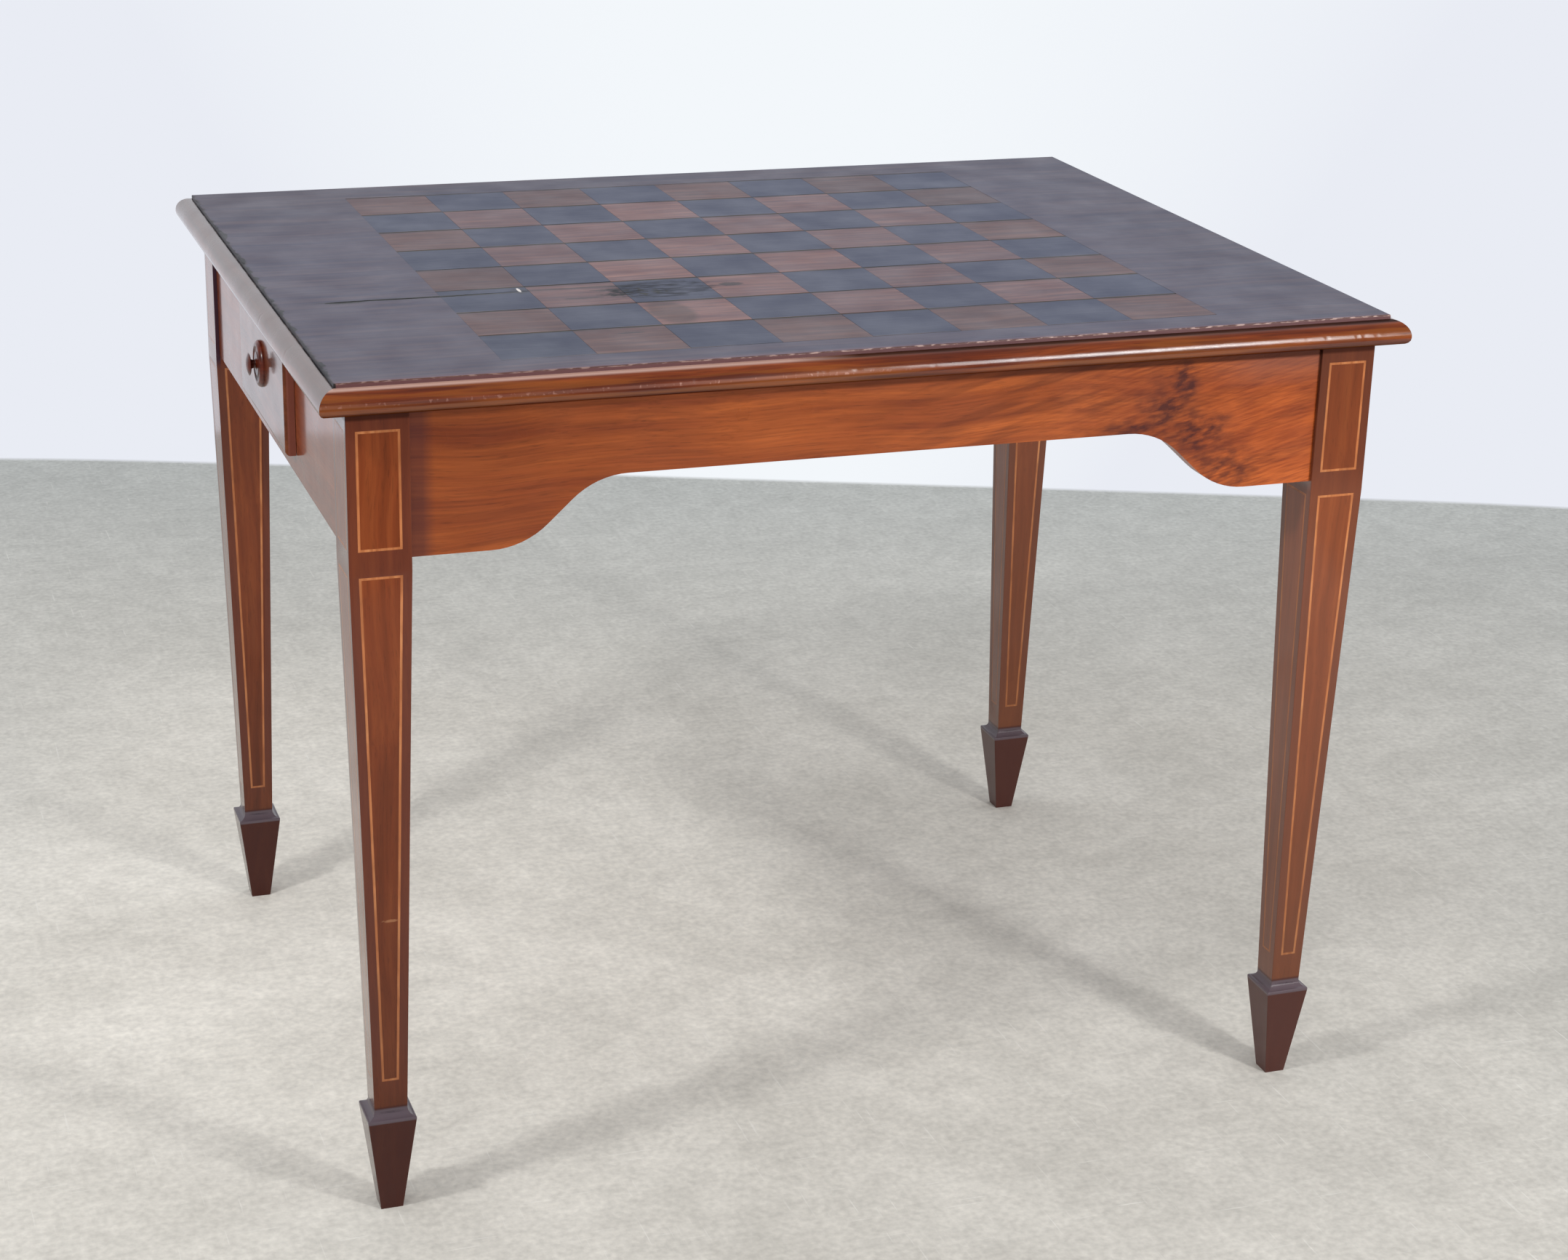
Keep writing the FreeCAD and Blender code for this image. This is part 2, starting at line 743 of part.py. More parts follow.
def drawer_front():
    """Lipped front: a tongue in the opening and a wider lip over the apron, soft at its edges."""
    half = drawer_half + lip_cover_side
    lip = box(lip_face_x, lip_back_x, -half, half, lip_low, lip_high)
    face_edges = [e for e in lip.Edges if e.CenterOfMass.x < lip_face_x + front_lip_round / 2]
    lip = lip.makeFillet(front_lip_round, face_edges)
    shape = lip.fuse(box(lip_back_x, tongue_back_x, -drawer_half, drawer_half, drawer_low, drawer_high))
    for sy in (-1, 1):
        for tail in front_joint(sy):
            shape = shape.cut(tail)
    shape = shape.cut(drawer_groove_room())
    shape = shape.cut(knob_bore(lip_face_x, tongue_back_x))
    return one(shape)


def drawer_back():
    """Drawer back, standing on the bottom between the tails of the sides."""
    root = drawer_end_x - drawer_back_thickness
    high = drawer_high - drawer_back_lowered
    shape = box(root, drawer_end_x, -drawer_half, drawer_half, bottom_high, high)
    for sy in (-1, 1):
        for tail in back_joint(sy):
            shape = shape.cut(tail)
    for head, direction, length in bottom_screws():
        shape = shape.cut(screw_bore(head, direction, length, bottom_screw_radius + screw_bite_gap))
    return one(shape)


# ---- knob ------------------------------------------------------------------------------------
def knob_bore(x0, x1):
    """Hole for the spigot of the knob between two planes."""
    radius = knob_spigot_diameter / 2 + knob_spigot_gap
    start = V(x0 - cutter_past, 0, knob_z)
    return Part.makeCylinder(radius, x1 - x0 + 2 * cutter_past, start, V(1, 0, 0))


def lathe(edges):
    """Outline in the plane y = 0, turned about the knob's axis."""
    face = Part.Face(Part.Wire(edges))
    return face.revolve(V(0, 0, knob_z), V(1, 0, 0), 360)


def lathe_point(out, radius):
    """Point at a distance out from the drawer face and a radius from the knob's axis."""
    return V(lip_face_x - out, 0, knob_z + radius)


def knob_rosette():
    """Turned plate behind the knob: square rim, rounded shoulder, shallow dish and a bead."""
    p = lathe_point
    rim = rosette_diameter / 2
    shoulder = rim * rosette_shoulder
    dish = rim * rosette_dish
    bulge = p(rosette_thickness * rosette_bulge[0], rim * rosette_bulge[1])
    edges = [
        line(p(0, 0), p(0, rim)),
        line(p(0, rim), p(rosette_rim, rim)),
        arc(p(rosette_rim, rim), bulge, p(rosette_thickness, shoulder)),
        arc(p(rosette_thickness, shoulder), p(rosette_thickness - rosette_bead, (shoulder + dish) / 2),
            p(rosette_thickness, dish)),
        line(p(rosette_thickness, dish), p(rosette_thickness, 0)),
        line(p(rosette_thickness, 0), p(0, 0)),
    ]
    bored = lathe(edges).cut(knob_bore(lip_face_x - rosette_thickness, lip_face_x))
    return one(bored)


def drawer_knob():
    """Turned knob: mushroom cap, waisted neck, and a spigot through rosette and front."""
    p = lathe_point
    neck = knob_neck_diameter / 2
    cap = knob_diameter / 2
    cap_under = knob_projection - knob_cap_thickness
    cap_edge = cap_under + knob_cap_thickness * cap_edge_share
    spigot = knob_spigot_diameter / 2
    spigot_end = -(tongue_back_x - lip_face_x - knob_spigot_short)
    neck_low = p(rosette_thickness, neck * neck_foot)
    waist = p((rosette_thickness + cap_under) / 2, neck * neck_waist)
    neck_high = p(cap_under, neck * neck_head)
    hollow = p(cap_under + cap_hollow_depth, cap * cap_hollow)
    dome_rise = knob_projection - cap_edge
    dome_radius = (cap ** 2 + dome_rise ** 2) / (2 * dome_rise)
    dome_half = math.asin(cap / dome_radius) / 2
    dome_mid = p(knob_projection - dome_radius * (1 - math.cos(dome_half)), dome_radius * math.sin(dome_half))
    edges = [
        line(p(spigot_end, 0), p(spigot_end, spigot)),
        line(p(spigot_end, spigot), p(rosette_thickness, spigot)),
        line(p(rosette_thickness, spigot), neck_low),
        arc(neck_low, waist, neck_high),
        arc(neck_high, hollow, p(cap_edge, cap)),
        arc(p(cap_edge, cap), dome_mid, p(knob_projection, 0)),
        line(p(knob_projection, 0), p(spigot_end, 0)),
    ]
    return one(lathe(edges))


# ---- write every node ------------------------------------------------------------------------
def main():
    os.makedirs("parts", exist_ok=True)
    pocket = all_pocket_screws()
    kicker = kicker_screws(-1) + kicker_screws(1)
    save("top_panel", top_panel(pocket + kicker))
    save("board_dark_squares", squares(True))
    save("board_light_squares", squares(False))
    save("edge_moulding_front", moulding(top_length, top_width / 2))
    save("edge_moulding_back", turned(moulding(top_length, top_width / 2), 180))
    save("edge_moulding_left", turned(moulding(top_width, top_length / 2), -90))
    save("edge_moulding_right", turned(moulding(top_width, top_length / 2), 90))
    for name, (sx, sy) in corners.items():
        save("leg_" + name, leg(sx, sy))
        save("leg_stringing_" + name, leg_stringing(sx, sy))
        save("corner_block_" + name, corner_block(sx, sy))
    save("apron_front", long_apron(-1))
    save("apron_back", long_apron(1))
    save("apron_drawer_end", drawer_end_apron())
    save("apron_plain_end", end_apron(1))
    for name, sy in (("front", -1), ("back", 1)):
        save("drawer_runner_" + name, drawer_runner(sy))
        save("drawer_guide_" + name, drawer_guide(sy))
        save("drawer_kicker_" + name, drawer_kicker(sy))
        save("drawer_side_" + name, drawer_side(sy))
    save("drawer_cross_rail", drawer_cross_rail())
    save("glue_blocks", glue_blocks())
    save("top_screws", [screw_solid(*s, screw_radius, screw_head_radius) for s in pocket])
    save("kicker_screws", [screw_solid(*s, screw_radius, screw_head_radius) for s in kicker])
    small_head = bottom_screw_radius * bottom_screw_head_share
    save("drawer_bottom_screws", [screw_solid(*s, bottom_screw_radius, small_head) for s in bottom_screws()])
    save("drawer_front", drawer_front())
    save("drawer_back", drawer_back())
    save("drawer_bottom", drawer_bottom())
    save("knob_rosette", knob_rosette())
    save("drawer_knob", drawer_knob())


main()
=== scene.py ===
"""Chess table with an inlaid board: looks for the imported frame. Metres, the same frame as the CAD."""
import json
import math
import random

import bmesh
import bpy
from mathutils import Matrix, Vector, noise

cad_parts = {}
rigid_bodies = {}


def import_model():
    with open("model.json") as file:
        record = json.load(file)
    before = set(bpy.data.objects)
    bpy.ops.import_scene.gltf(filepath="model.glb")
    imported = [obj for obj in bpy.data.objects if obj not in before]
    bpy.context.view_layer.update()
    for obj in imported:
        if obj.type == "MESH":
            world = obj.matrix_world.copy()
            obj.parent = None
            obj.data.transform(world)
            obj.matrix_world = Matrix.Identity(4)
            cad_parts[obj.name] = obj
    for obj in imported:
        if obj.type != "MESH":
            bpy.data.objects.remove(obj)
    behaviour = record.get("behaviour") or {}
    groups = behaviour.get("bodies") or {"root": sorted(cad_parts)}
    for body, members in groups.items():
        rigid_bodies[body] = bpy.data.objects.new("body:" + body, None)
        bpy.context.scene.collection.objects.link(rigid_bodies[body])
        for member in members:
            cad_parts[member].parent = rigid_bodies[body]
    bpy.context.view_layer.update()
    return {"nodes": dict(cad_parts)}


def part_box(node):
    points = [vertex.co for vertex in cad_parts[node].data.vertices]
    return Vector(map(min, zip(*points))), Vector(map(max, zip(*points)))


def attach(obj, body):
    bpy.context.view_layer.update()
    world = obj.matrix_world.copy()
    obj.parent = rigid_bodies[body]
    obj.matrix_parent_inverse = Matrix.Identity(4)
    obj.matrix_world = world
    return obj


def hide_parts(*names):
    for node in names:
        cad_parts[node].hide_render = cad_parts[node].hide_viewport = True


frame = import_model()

nodes = frame["nodes"]
MM = 0.001

# ---- sizes from the frame ----------------------------------------------------------------------
top_low_corner, top_high_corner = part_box("top_panel")
TOP_HALF_X = top_high_corner.x
TOP_HALF_Y = top_high_corner.y
TOP_LOW = top_low_corner.z
TOP_HIGH = top_high_corner.z
dark_low, dark_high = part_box("board_dark_squares")
light_low, light_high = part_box("board_light_squares")
BOARD_LOW = Vector((min(dark_low.x, light_low.x), min(dark_low.y, light_low.y)))
BOARD_HIGH = Vector((max(dark_high.x, light_high.x), max(dark_high.y, light_high.y)))
BOARD_MIDDLE = (BOARD_LOW + BOARD_HIGH) / 2
BOARD_HALF = (BOARD_HIGH.x - BOARD_LOW.x) / 2
SQUARES = 8
SQUARE = BOARD_HALF * 2 / SQUARES
SQUARE_LOW = dark_low.z
leg_low, leg_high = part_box("leg_front_right")
LEG_MIDDLE = (leg_low + leg_high) / 2
LEG_HALF = (leg_high.x - leg_low.x) / 2
string_low, string_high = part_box("leg_stringing_front_right")
# Levels of a leg without stringing: above the block panel, at the knee and above the neck.
PLAIN_BANDS = ((string_high.z, TOP_LOW), (0.571, 0.5923), (0.10, string_low.z))
LIP_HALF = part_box("drawer_front")[1].y

# ---- shapes that the CAD leaves plain ------------------------------------------------------------
RISER = 3.6 * MM
NOSE_HEIGHT = 1.0 * MM
UNDER_ROUND = 6.0 * MM
PROJECTION = -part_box("edge_moulding_front")[0].y - TOP_HALF_Y
OVOLO_STEPS = 14
GAP_DEPTH = 2.6 * MM          # depth of the gap between a moulding and the riser
WOBBLE = 0.08 * MM            # unevenness of a hand scraped moulding
ARRIS = 0.8 * MM
STEP = 2.0 * MM               # spacing of the points along a worn edge
CRACK_START, CRACK_END = -0.412, -0.232
CRACK_Y = -0.105
CRACK_DRIFT = 4.0 * MM        # the crack runs this far back over its length
CRACKED_SQUARE = (0, 2)       # column and row
WORN_DOWN = 2.4 * MM          # the wear of an edge of the top reaches this far down its side
WORN_INWARD = 3.0 * MM        # and this far in
WORN_STRIP = 10.0 * MM        # points this near to an edge belong to it
JOINT_BEVEL_ROW = 0.9 * MM    # open joints between the rows of squares
JOINT_BEVEL_COLUMN = 0.12 * MM
LEG_ARRIS = 0.9 * MM
NECK_HALF = 14.0 * MM
KNEE_Z, NECK_Z = 574.0 * MM, 96.6 * MM
PANEL_MARGIN = 7.5 * MM       # from the edge of a leg to its stringing
GRAIN_WANDER = 22 * MM        # how far the grain bends to the side
RELIEF = 0.25 * MM            # height of the grain in the finish
UNEVEN_POLISH = 0.06          # the roughness varies up and down by this much
MARK_DEPTH = 50               # millimetres that a mark on the top reaches down, more than any dent


# ---- materials -----------------------------------------------------------------------------------
def linear(code):
    """sRGB hex colour as linear RGBA."""
    channels = [int(code[i:i + 2], 16) / 255 for i in (1, 3, 5)]
    return [c / 12.92 if c <= 0.04045 else ((c + 0.055) / 1.055) ** 2.4 for c in channels] + [1.0]


def per_mm(size):
    """Texture scale that gives features of this size in millimetres."""
    return 1000.0 / size


def add(tree, kind, inputs=None, stops=None, take=0, **settings):
    """Add a node with its settings, link or set its inputs, and return one of its outputs.

    The inputs are a list in the order of the node's sockets, or a dict by socket name or number.
    """
    made = tree.nodes.new("ShaderNode" + kind)
    for name, value in settings.items():
        setattr(made, name, value)
    if isinstance(inputs, list):
        inputs = dict(enumerate(inputs))
    for name, value in (inputs or {}).items():
        if isinstance(value, bpy.types.NodeSocket):
            tree.links.new(value, made.inputs[name])
        else:
            made.inputs[name].default_value = value
    if stops:
        elements = made.color_ramp.elements
        elements[0].position, elements[0].color = stops[0]
        elements[1].position, elements[1].color = stops[-1]
        for place, colour in stops[1:-1]:
            elements.new(place).color = colour
    return made.outputs[take] if len(made.outputs) else made


def new_material(name):
    material = bpy.data.materials.new(name)
    material.use_nodes = True
    material.node_tree.nodes.clear()
    return material, material.node_tree


def product(tree, *values):
    """Masks multiplied together."""
    total = values[0]
    for value in values[1:]:
        total = add(tree, "Math", [total, value], operation="MULTIPLY")
    return total


def drawn_noise(tree, position, size, grain, detail):
    """Noise drawn out along the grain axis, its features of this (length, width) in millimetres."""
    length, width = size
    scale = [per_mm(length if axis == grain else width) for axis in "XYZ"]
    drawn = add(tree, "VectorMath", [position, scale], operation="MULTIPLY")
    return add(tree, "TexNoise", {"Vector": drawn, "Scale": 1.0, "Detail": detail})


def speckle(tree, position, size, source, grain="X", detail=3.0):
    """Mask of ragged patches of this (length, width) in millimetres, drawn out along the grain."""
    return add(tree, "MapRange", [drawn_noise(tree, position, size, grain, detail), *source])


def wood(name, grain, colours, figure=(260, 14), lines=(120, 1.8), pores=(16, 0.9), contrast=0.12,
         pore_depth=0.2, roughness=0.35, wave=0.03, marks=None, finish=None):
    """Wood cut along the grain: slow figure, fine lines and short dark pores, under a finish.

    Sizes are (length, width) in millimetres. The pores of mahogany are 0.2 mm wide, too fine to
    show, so they are drawn 0.9 mm wide.
    """
    material, tree = new_material(name)
    position = add(tree, "TexCoord", take="Object")
    wander = add(tree, "TexNoise", {"Vector": position, "Scale": per_mm(170), "Detail": 1.0}, take="Color")
    centred = add(tree, "VectorMath", [wander, (0.5, 0.5, 0.5)], operation="SUBTRACT")
    shift = add(tree, "VectorMath", {0: centred, "Scale": GRAIN_WANDER}, operation="SCALE")
    bent = add(tree, "VectorMath", [position, shift], operation="ADD")
    slow, fine, pore = (drawn_noise(tree, bent, size, grain, detail)
                        for size, detail in ((figure, 3.0), (lines, 2.0), (pores, 1.0)))
    stops = [(0.32, linear(colours[0])), (0.5, linear(colours[1])), (0.68, linear(colours[2]))]
    colour = add(tree, "ValToRGB", {"Fac": slow}, stops=stops)
    fine_shade = add(tree, "MapRange", [fine, 0.3, 0.7, 1 - contrast, 1 + contrast])
    pore_shade = add(tree, "MapRange", [pore, 0.60, 0.70, 1.0, 1 - pore_depth])
    shade = add(tree, "Math", [fine_shade, pore_shade], operation="MULTIPLY")
    colour = add(tree, "VectorMath", {0: colour, "Scale": shade}, operation="SCALE")
    dull = add(tree, "TexNoise", {"Vector": position, "Scale": per_mm(45), "Detail": 3.0})
    rough = add(tree, "MapRange", [dull, 0.3, 0.7, roughness - UNEVEN_POLISH, roughness + UNEVEN_POLISH])
    inputs = dict(finish or {})
    if marks:
        colour, rough, dull = marks(tree, position, colour, rough)
        for gloss in ("Specular IOR Level", "Coat Weight", "Sheen Weight"):
            if gloss in inputs:
                inputs[gloss] = add(tree, "MapRange", [dull, 0, 1, inputs[gloss], 0.0])
    swell = add(tree, "TexNoise", {"Vector": position, "Scale": per_mm(38), "Detail": 1.0})
    relief = add(tree, "Math", [swell, wave * 20], operation="MULTIPLY")
    relief = add(tree, "Math", [fine, 0.25, relief], operation="MULTIPLY_ADD")
    relief = add(tree, "Math", [shade, 0.3, relief], operation="MULTIPLY_ADD")
    normal = add(tree, "Bump", {"Height": relief, "Distance": RELIEF, "Strength": 0.5})
    inputs.update({"Base Color": colour, "Roughness": rough, "Normal": normal})
    surface = add(tree, "BsdfPrincipled", inputs)
    add(tree, "OutputMaterial", {"Surface": surface})
    return material


def ellipse_mask(tree, position, centre, size, ragged=0.35, grit=6, soft=0.15):
    """1 inside an upright ellipse with a ragged, soft rim, 0 outside. Sizes in millimetres."""
    offset = add(tree, "VectorMath", [position, [c * MM for c in centre]], operation="SUBTRACT")
    scaled = add(tree, "VectorMath", [offset, [1 / (s * MM) for s in size]], operation="MULTIPLY")
    reach = add(tree, "VectorMath", [scaled], operation="LENGTH", take="Value")
    rag = add(tree, "TexNoise", {"Vector": position, "Scale": per_mm(grit), "Detail": 2.0})
    ragged_reach = add(tree, "Math", [rag, -2 * ragged, reach], operation="MULTIPLY_ADD")
    return add(tree, "MapRange", [ragged_reach, 1.0 - ragged - soft, 1.0 - ragged + soft, 1.0, 0.0])


def painted(tree, colour, *coats):
    """Colour with coats of other colours, each a mask and a hex colour."""
    for amount, code in coats:
        # The colour sockets of this node are 6 and 7, and its colour comes out at 2.
        colour = add(tree, "Mix", {0: amount, 6: colour, 7: linear(code)}, data_type="RGBA", take=2)
    return colour


def toned(tree, colour, value, source, factors):
    """Colour made darker or lighter as a value goes through its range."""
    amount = add(tree, "MapRange", [value, *source, *factors])
    return add(tree, "VectorMath", {0: colour, "Scale": amount}, operation="SCALE")


def most(tree, *values):
    """Masks joined: the greatest of them at each point."""
    total = values[0]
    for value in values[1:]:
        total = add(tree, "Math", [total, value], operation="MAXIMUM")
    return total


# Dirt along the crack in the top: middle and half sizes in millimetres, and strength.
CRACK_DIRT = (((-325, -103), (88, 3.0), 1.0), ((-190, -100), (60, 2.0), 0.7),
              ((-396, -105.5), (17, 4.0), 1.0))
# Bruises in the board: middle and half sizes in millimetres.
BRUISES = (((-192, -258), (11, 1.8)), ((-198, -136), (18, 2.4)),
           ((-170, -112), (14, 1.8)), ((-60, -116), (11, 6)))


def top_mark(tree, position, middle, half, *rim):
    """Ragged ellipse on the top: middle and half sizes in millimetres, then the kind of rim."""
    return ellipse_mask(tree, position, (*middle, TOP_HIGH / MM), (*half, MARK_DEPTH), *rim)


def crack_line(tree, position):
    """Mask of the dirt along the crack in the top, fading over the board."""
    return most(tree, *(product(tree, top_mark(tree, position, middle, half, 0.25, 4), strength)
                        for middle, half, strength in CRACK_DIRT))


def board_marks(tree, position, colour, rough):
    """Age on the board: a tone for each square, dirt in the row joints with a painted highlight beside them,
    a scorch, a stain, bruises.
    """
    corner = (BOARD_LOW.x, BOARD_LOW.y, 0.0)
    on_board = add(tree, "VectorMath", [position, corner], operation="SUBTRACT")
    cell = add(tree, "VectorMath", [on_board, (1 / SQUARE, 1 / SQUARE, 0)], operation="MULTIPLY")
    whole = add(tree, "VectorMath", [cell], operation="FLOOR")
    tone = add(tree, "TexWhiteNoise", {"Vector": whole}, noise_dimensions="3D", take="Value")
    colour = toned(tree, colour, tone, (0, 1), (0.78, 1.2))
    in_square = add(tree, "VectorMath", [cell], operation="FRACTION")
    across = add(tree, "SeparateXYZ", [in_square], take="Y")
    unevenly = speckle(tree, position, (70, 40), (0.40, 0.56))
    joint = most(tree, add(tree, "MapRange", [across, 0.950, 0.968]),
                 add(tree, "MapRange", [across, 0.018, 0.014]))
    dark_line = product(tree, joint, add(tree, "MapRange", [unevenly, 0, 1, 0.5, 0.95]))
    # Painted highlight on the front edge of each square, where the joint's bevel would catch the light.
    joint_highlight = product(tree, add(tree, "MapRange", [across, 0.036, 0.024]), unevenly, 0.25)
    stain = product(tree, top_mark(tree, position, (-139, -200), (19, 38), 0.1, 12), 0.5)
    streaks = speckle(tree, position, (18, 2.6), (0.42, 0.60))
    scorch = product(tree, top_mark(tree, position, (-126, -120), (50, 27), 0.3, 9), streaks)
    blisters = product(tree, top_mark(tree, position, (-150, -126), (30, 16), 0.3, 9),
                       speckle(tree, position, (7, 5), (0.50, 0.56), detail=1.0))
    bruises = (top_mark(tree, position, middle, half, 0.4, 3) for middle, half in BRUISES)
    bruised = product(tree, most(tree, *bruises), 0.8)
    crack = crack_line(tree, position)
    splinter = top_mark(tree, position, (-243.6, -96), (1.4, 7), 0.1, 2)
    around = product(tree, top_mark(tree, position, (-244, -100), (8, 9), 0.4, 4), 0.7)
    colour = painted(tree, colour, (dark_line, "#080808"), (joint_highlight, "#8A7464"), (stain, "#2A2014"),
                     (scorch, "#0A0C0E"), (blisters, "#020203"), (bruised, "#1A0E0A"), (crack, "#0A0808"),
                     (around, "#080808"), (splinter, "#E8DED4"))
    rough = add(tree, "Math", [scorch, 0.2, rough], operation="MULTIPLY_ADD")
    spoiled = product(tree, most(tree, scorch, bruised, stain, around), 0.7)
    return colour, rough, most(tree, dark_line, spoiled, blisters, crack)


def faded_marks(tree, position, colour, rough):
    """The red squares: darker and duller around the border of the board, then as the dark ones."""
    middle = (BOARD_MIDDLE.x, BOARD_MIDDLE.y, 0.0)
    off = add(tree, "VectorMath", [position, middle], operation="SUBTRACT")
    distance = add(tree, "VectorMath", [off], operation="ABSOLUTE")
    x, y, _ = add(tree, "SeparateXYZ", [distance]).node.outputs
    inner = BOARD_HALF - SQUARE
    border = add(tree, "MapRange", [most(tree, x, y), inner - MM, inner + MM])
    colour = toned(tree, colour, border, (0, 1), (1.0, 0.66))
    colour, rough, dull = board_marks(tree, position, colour, rough)
    return colour, rough, most(tree, dull, product(tree, border, 0.3))


def worn_arris(tree, position, colour, rough):
    """Top: red edge, pale nicks along the front arris, dirt packed along the left one, bare underside."""
    x, y, z = add(tree, "SeparateXYZ", [position]).node.outputs
    edge = add(tree, "MapRange", [z, TOP_HIGH - 0.5 * MM, TOP_HIGH - 1.1 * MM])
    front = product(tree, add(tree, "MapRange", [y, -TOP_HALF_Y + 1.4 * MM, -TOP_HALF_Y + 0.8 * MM]),
                    add(tree, "MapRange", [z, TOP_HIGH - 1.3 * MM, TOP_HIGH - 0.9 * MM]))
    chips = speckle(tree, position, (9, 2.4), (0.50, 0.58), detail=4.0)
    bare = product(tree, front, chips, add(tree, "MapRange", [x, -0.30, 0.10, 0.3, 0.75]))
    # Rubbed wear along the front edge of the top.
    wear_and_painted_reflection = product(tree, add(tree, "MapRange", [y, -TOP_HALF_Y + 7 * MM, -TOP_HALF_Y + 1.5 * MM]), 0.5)
    left = add(tree, "MapRange", [x, -TOP_HALF_X + 2.2 * MM, -TOP_HALF_X + 1.2 * MM])
    wander = add(tree, "TexNoise", {"Vector": position, "Scale": per_mm(26), "Detail": 3.0})
    inward = add(tree, "Math", [wander, -26 * MM, x], operation="MULTIPLY_ADD")
    chipped = add(tree, "MapRange", [inward, -TOP_HALF_X - 12.3 * MM, -TOP_HALF_X - 13.0 * MM])
    dirt = product(tree, chipped, add(tree, "MapRange", [z, TOP_HIGH - 1.0 * MM, TOP_HIGH - 0.7 * MM]), 0.9)
    left_face = product(tree, left, add(tree, "MapRange", [z, TOP_HIGH - 0.05 * MM, TOP_HIGH - 0.45 * MM]))
    foot = add(tree, "MapRange", [z, TOP_HIGH - RISER + 1.6 * MM, TOP_HIGH - RISER + 0.8 * MM])
    gap_dirt = product(tree, left_face, foot, speckle(tree, position, (18, 18), (0.34, 0.50)), 0.9)
    grime = product(tree, left_face, speckle(tree, position, (12, 12), (0.38, 0.58)), 0.8)
    crack = crack_line(tree, position)
    colour = painted(tree, colour, (edge, "#5E4048"), (wear_and_painted_reflection, "#6A3A30"), (bare, "#C8A89C"),
                     (product(tree, left_face, 0.95), "#322C2A"), (grime, "#161210"), (dirt, "#060505"),
                     (gap_dirt, "#0A0808"), (crack, "#0A0808"))
    under = add(tree, "MapRange", [z, TOP_LOW + 1.0 * MM, TOP_LOW + 0.2 * MM])
    colour = painted(tree, colour, (product(tree, under, 0.7), "#6E4A34"))
    far_side = most(tree, add(tree, "MapRange", [x, 0.2, 0.45, 0.0, 0.25]),
                    add(tree, "MapRange", [y, 0.1, 0.35, 0.0, 0.25]))
    return colour, rough, most(tree, dirt, product(tree, left_face, 0.8), crack, far_side, under)


# Dark smudges of the crotch in the front veneer: middle x and z, half sizes, in millimetres.
SMUDGES = ((227, 641, 26, 11), (250, 655, 18, 26), (264, 678, 14, 16), (276, 636, 30, 20),
           (308, 604, 22, 18))
FIGURE_CLIMB = math.radians(14)


def crotch_figure(tree, position, colour, rough):
    """Front veneer: painted light towards the right, streaks that climb to the right, a dark crotch near the
    right leg, bright beyond, painted shade beside the left leg and a painted shadow under the moulding.
    """
    x, _, z = add(tree, "SeparateXYZ", [position]).node.outputs
    # Painted light: the veneer lighter towards the right, where the right lamp is nearer.
    colour = toned(tree, colour, x, (-0.35, 0.35), (0.9, 1.2))
    climb = add(tree, "VectorRotate", {"Vector": position, "Angle": FIGURE_CLIMB}, rotation_type="Y_AXIS")
    streaks = product(tree, speckle(tree, climb, (110, 9), (0.47, 0.62)),
                      add(tree, "MapRange", [x, -0.05, 0.12]),
                      add(tree, "MapRange", [x, 0.26, 0.20]), 0.45)
    smudges = [ellipse_mask(tree, position, (middle_x, -344, middle_z), (half_x, 60, half_z), 0.9, 22, 0.6)
               for middle_x, middle_z, half_x, half_z in SMUDGES]
    mottle = speckle(tree, climb, (12, 5), (0.30, 0.60), detail=5.0)
    knot = product(tree, most(tree, *smudges), mottle, 0.85)
    beyond = add(tree, "MapRange", [x, 0.20, 0.30])
    bright = product(tree, beyond, speckle(tree, climb, (50, 14), (0.34, 0.58)), 0.5)
    flecks = product(tree, add(tree, "MapRange", [x, 0.10, 0.22]),
                     speckle(tree, climb, (26, 2), (0.42, 0.66)), 0.5)
    haze = product(tree, add(tree, "MapRange", [x, 0.28, 0.34]),
                   add(tree, "MapRange", [z, 0.670, 0.690]), 0.55)
    # Painted shade in the corner where the apron meets the front left leg.
    leg_joint_shade = product(tree, add(tree, "MapRange", [x, -0.374, -0.384]), 0.6)
    shadow = product(tree, add(tree, "MapRange", [z, TOP_LOW - 11.0 * MM, TOP_LOW - 9.0 * MM]),
                     add(tree, "MapRange", [x, -0.2, 0.2, 0.3, 0.8]))
    colour = painted(tree, colour, (streaks, "#4A1C10"), (bright, "#C46028"), (flecks, "#6A2410"),
                     (knot, "#3C1618"), (haze, "#7A5048"), (leg_joint_shade, "#4A2426"), (shadow, "#34160E"))
    return colour, rough, product(tree, shadow, 0.6)


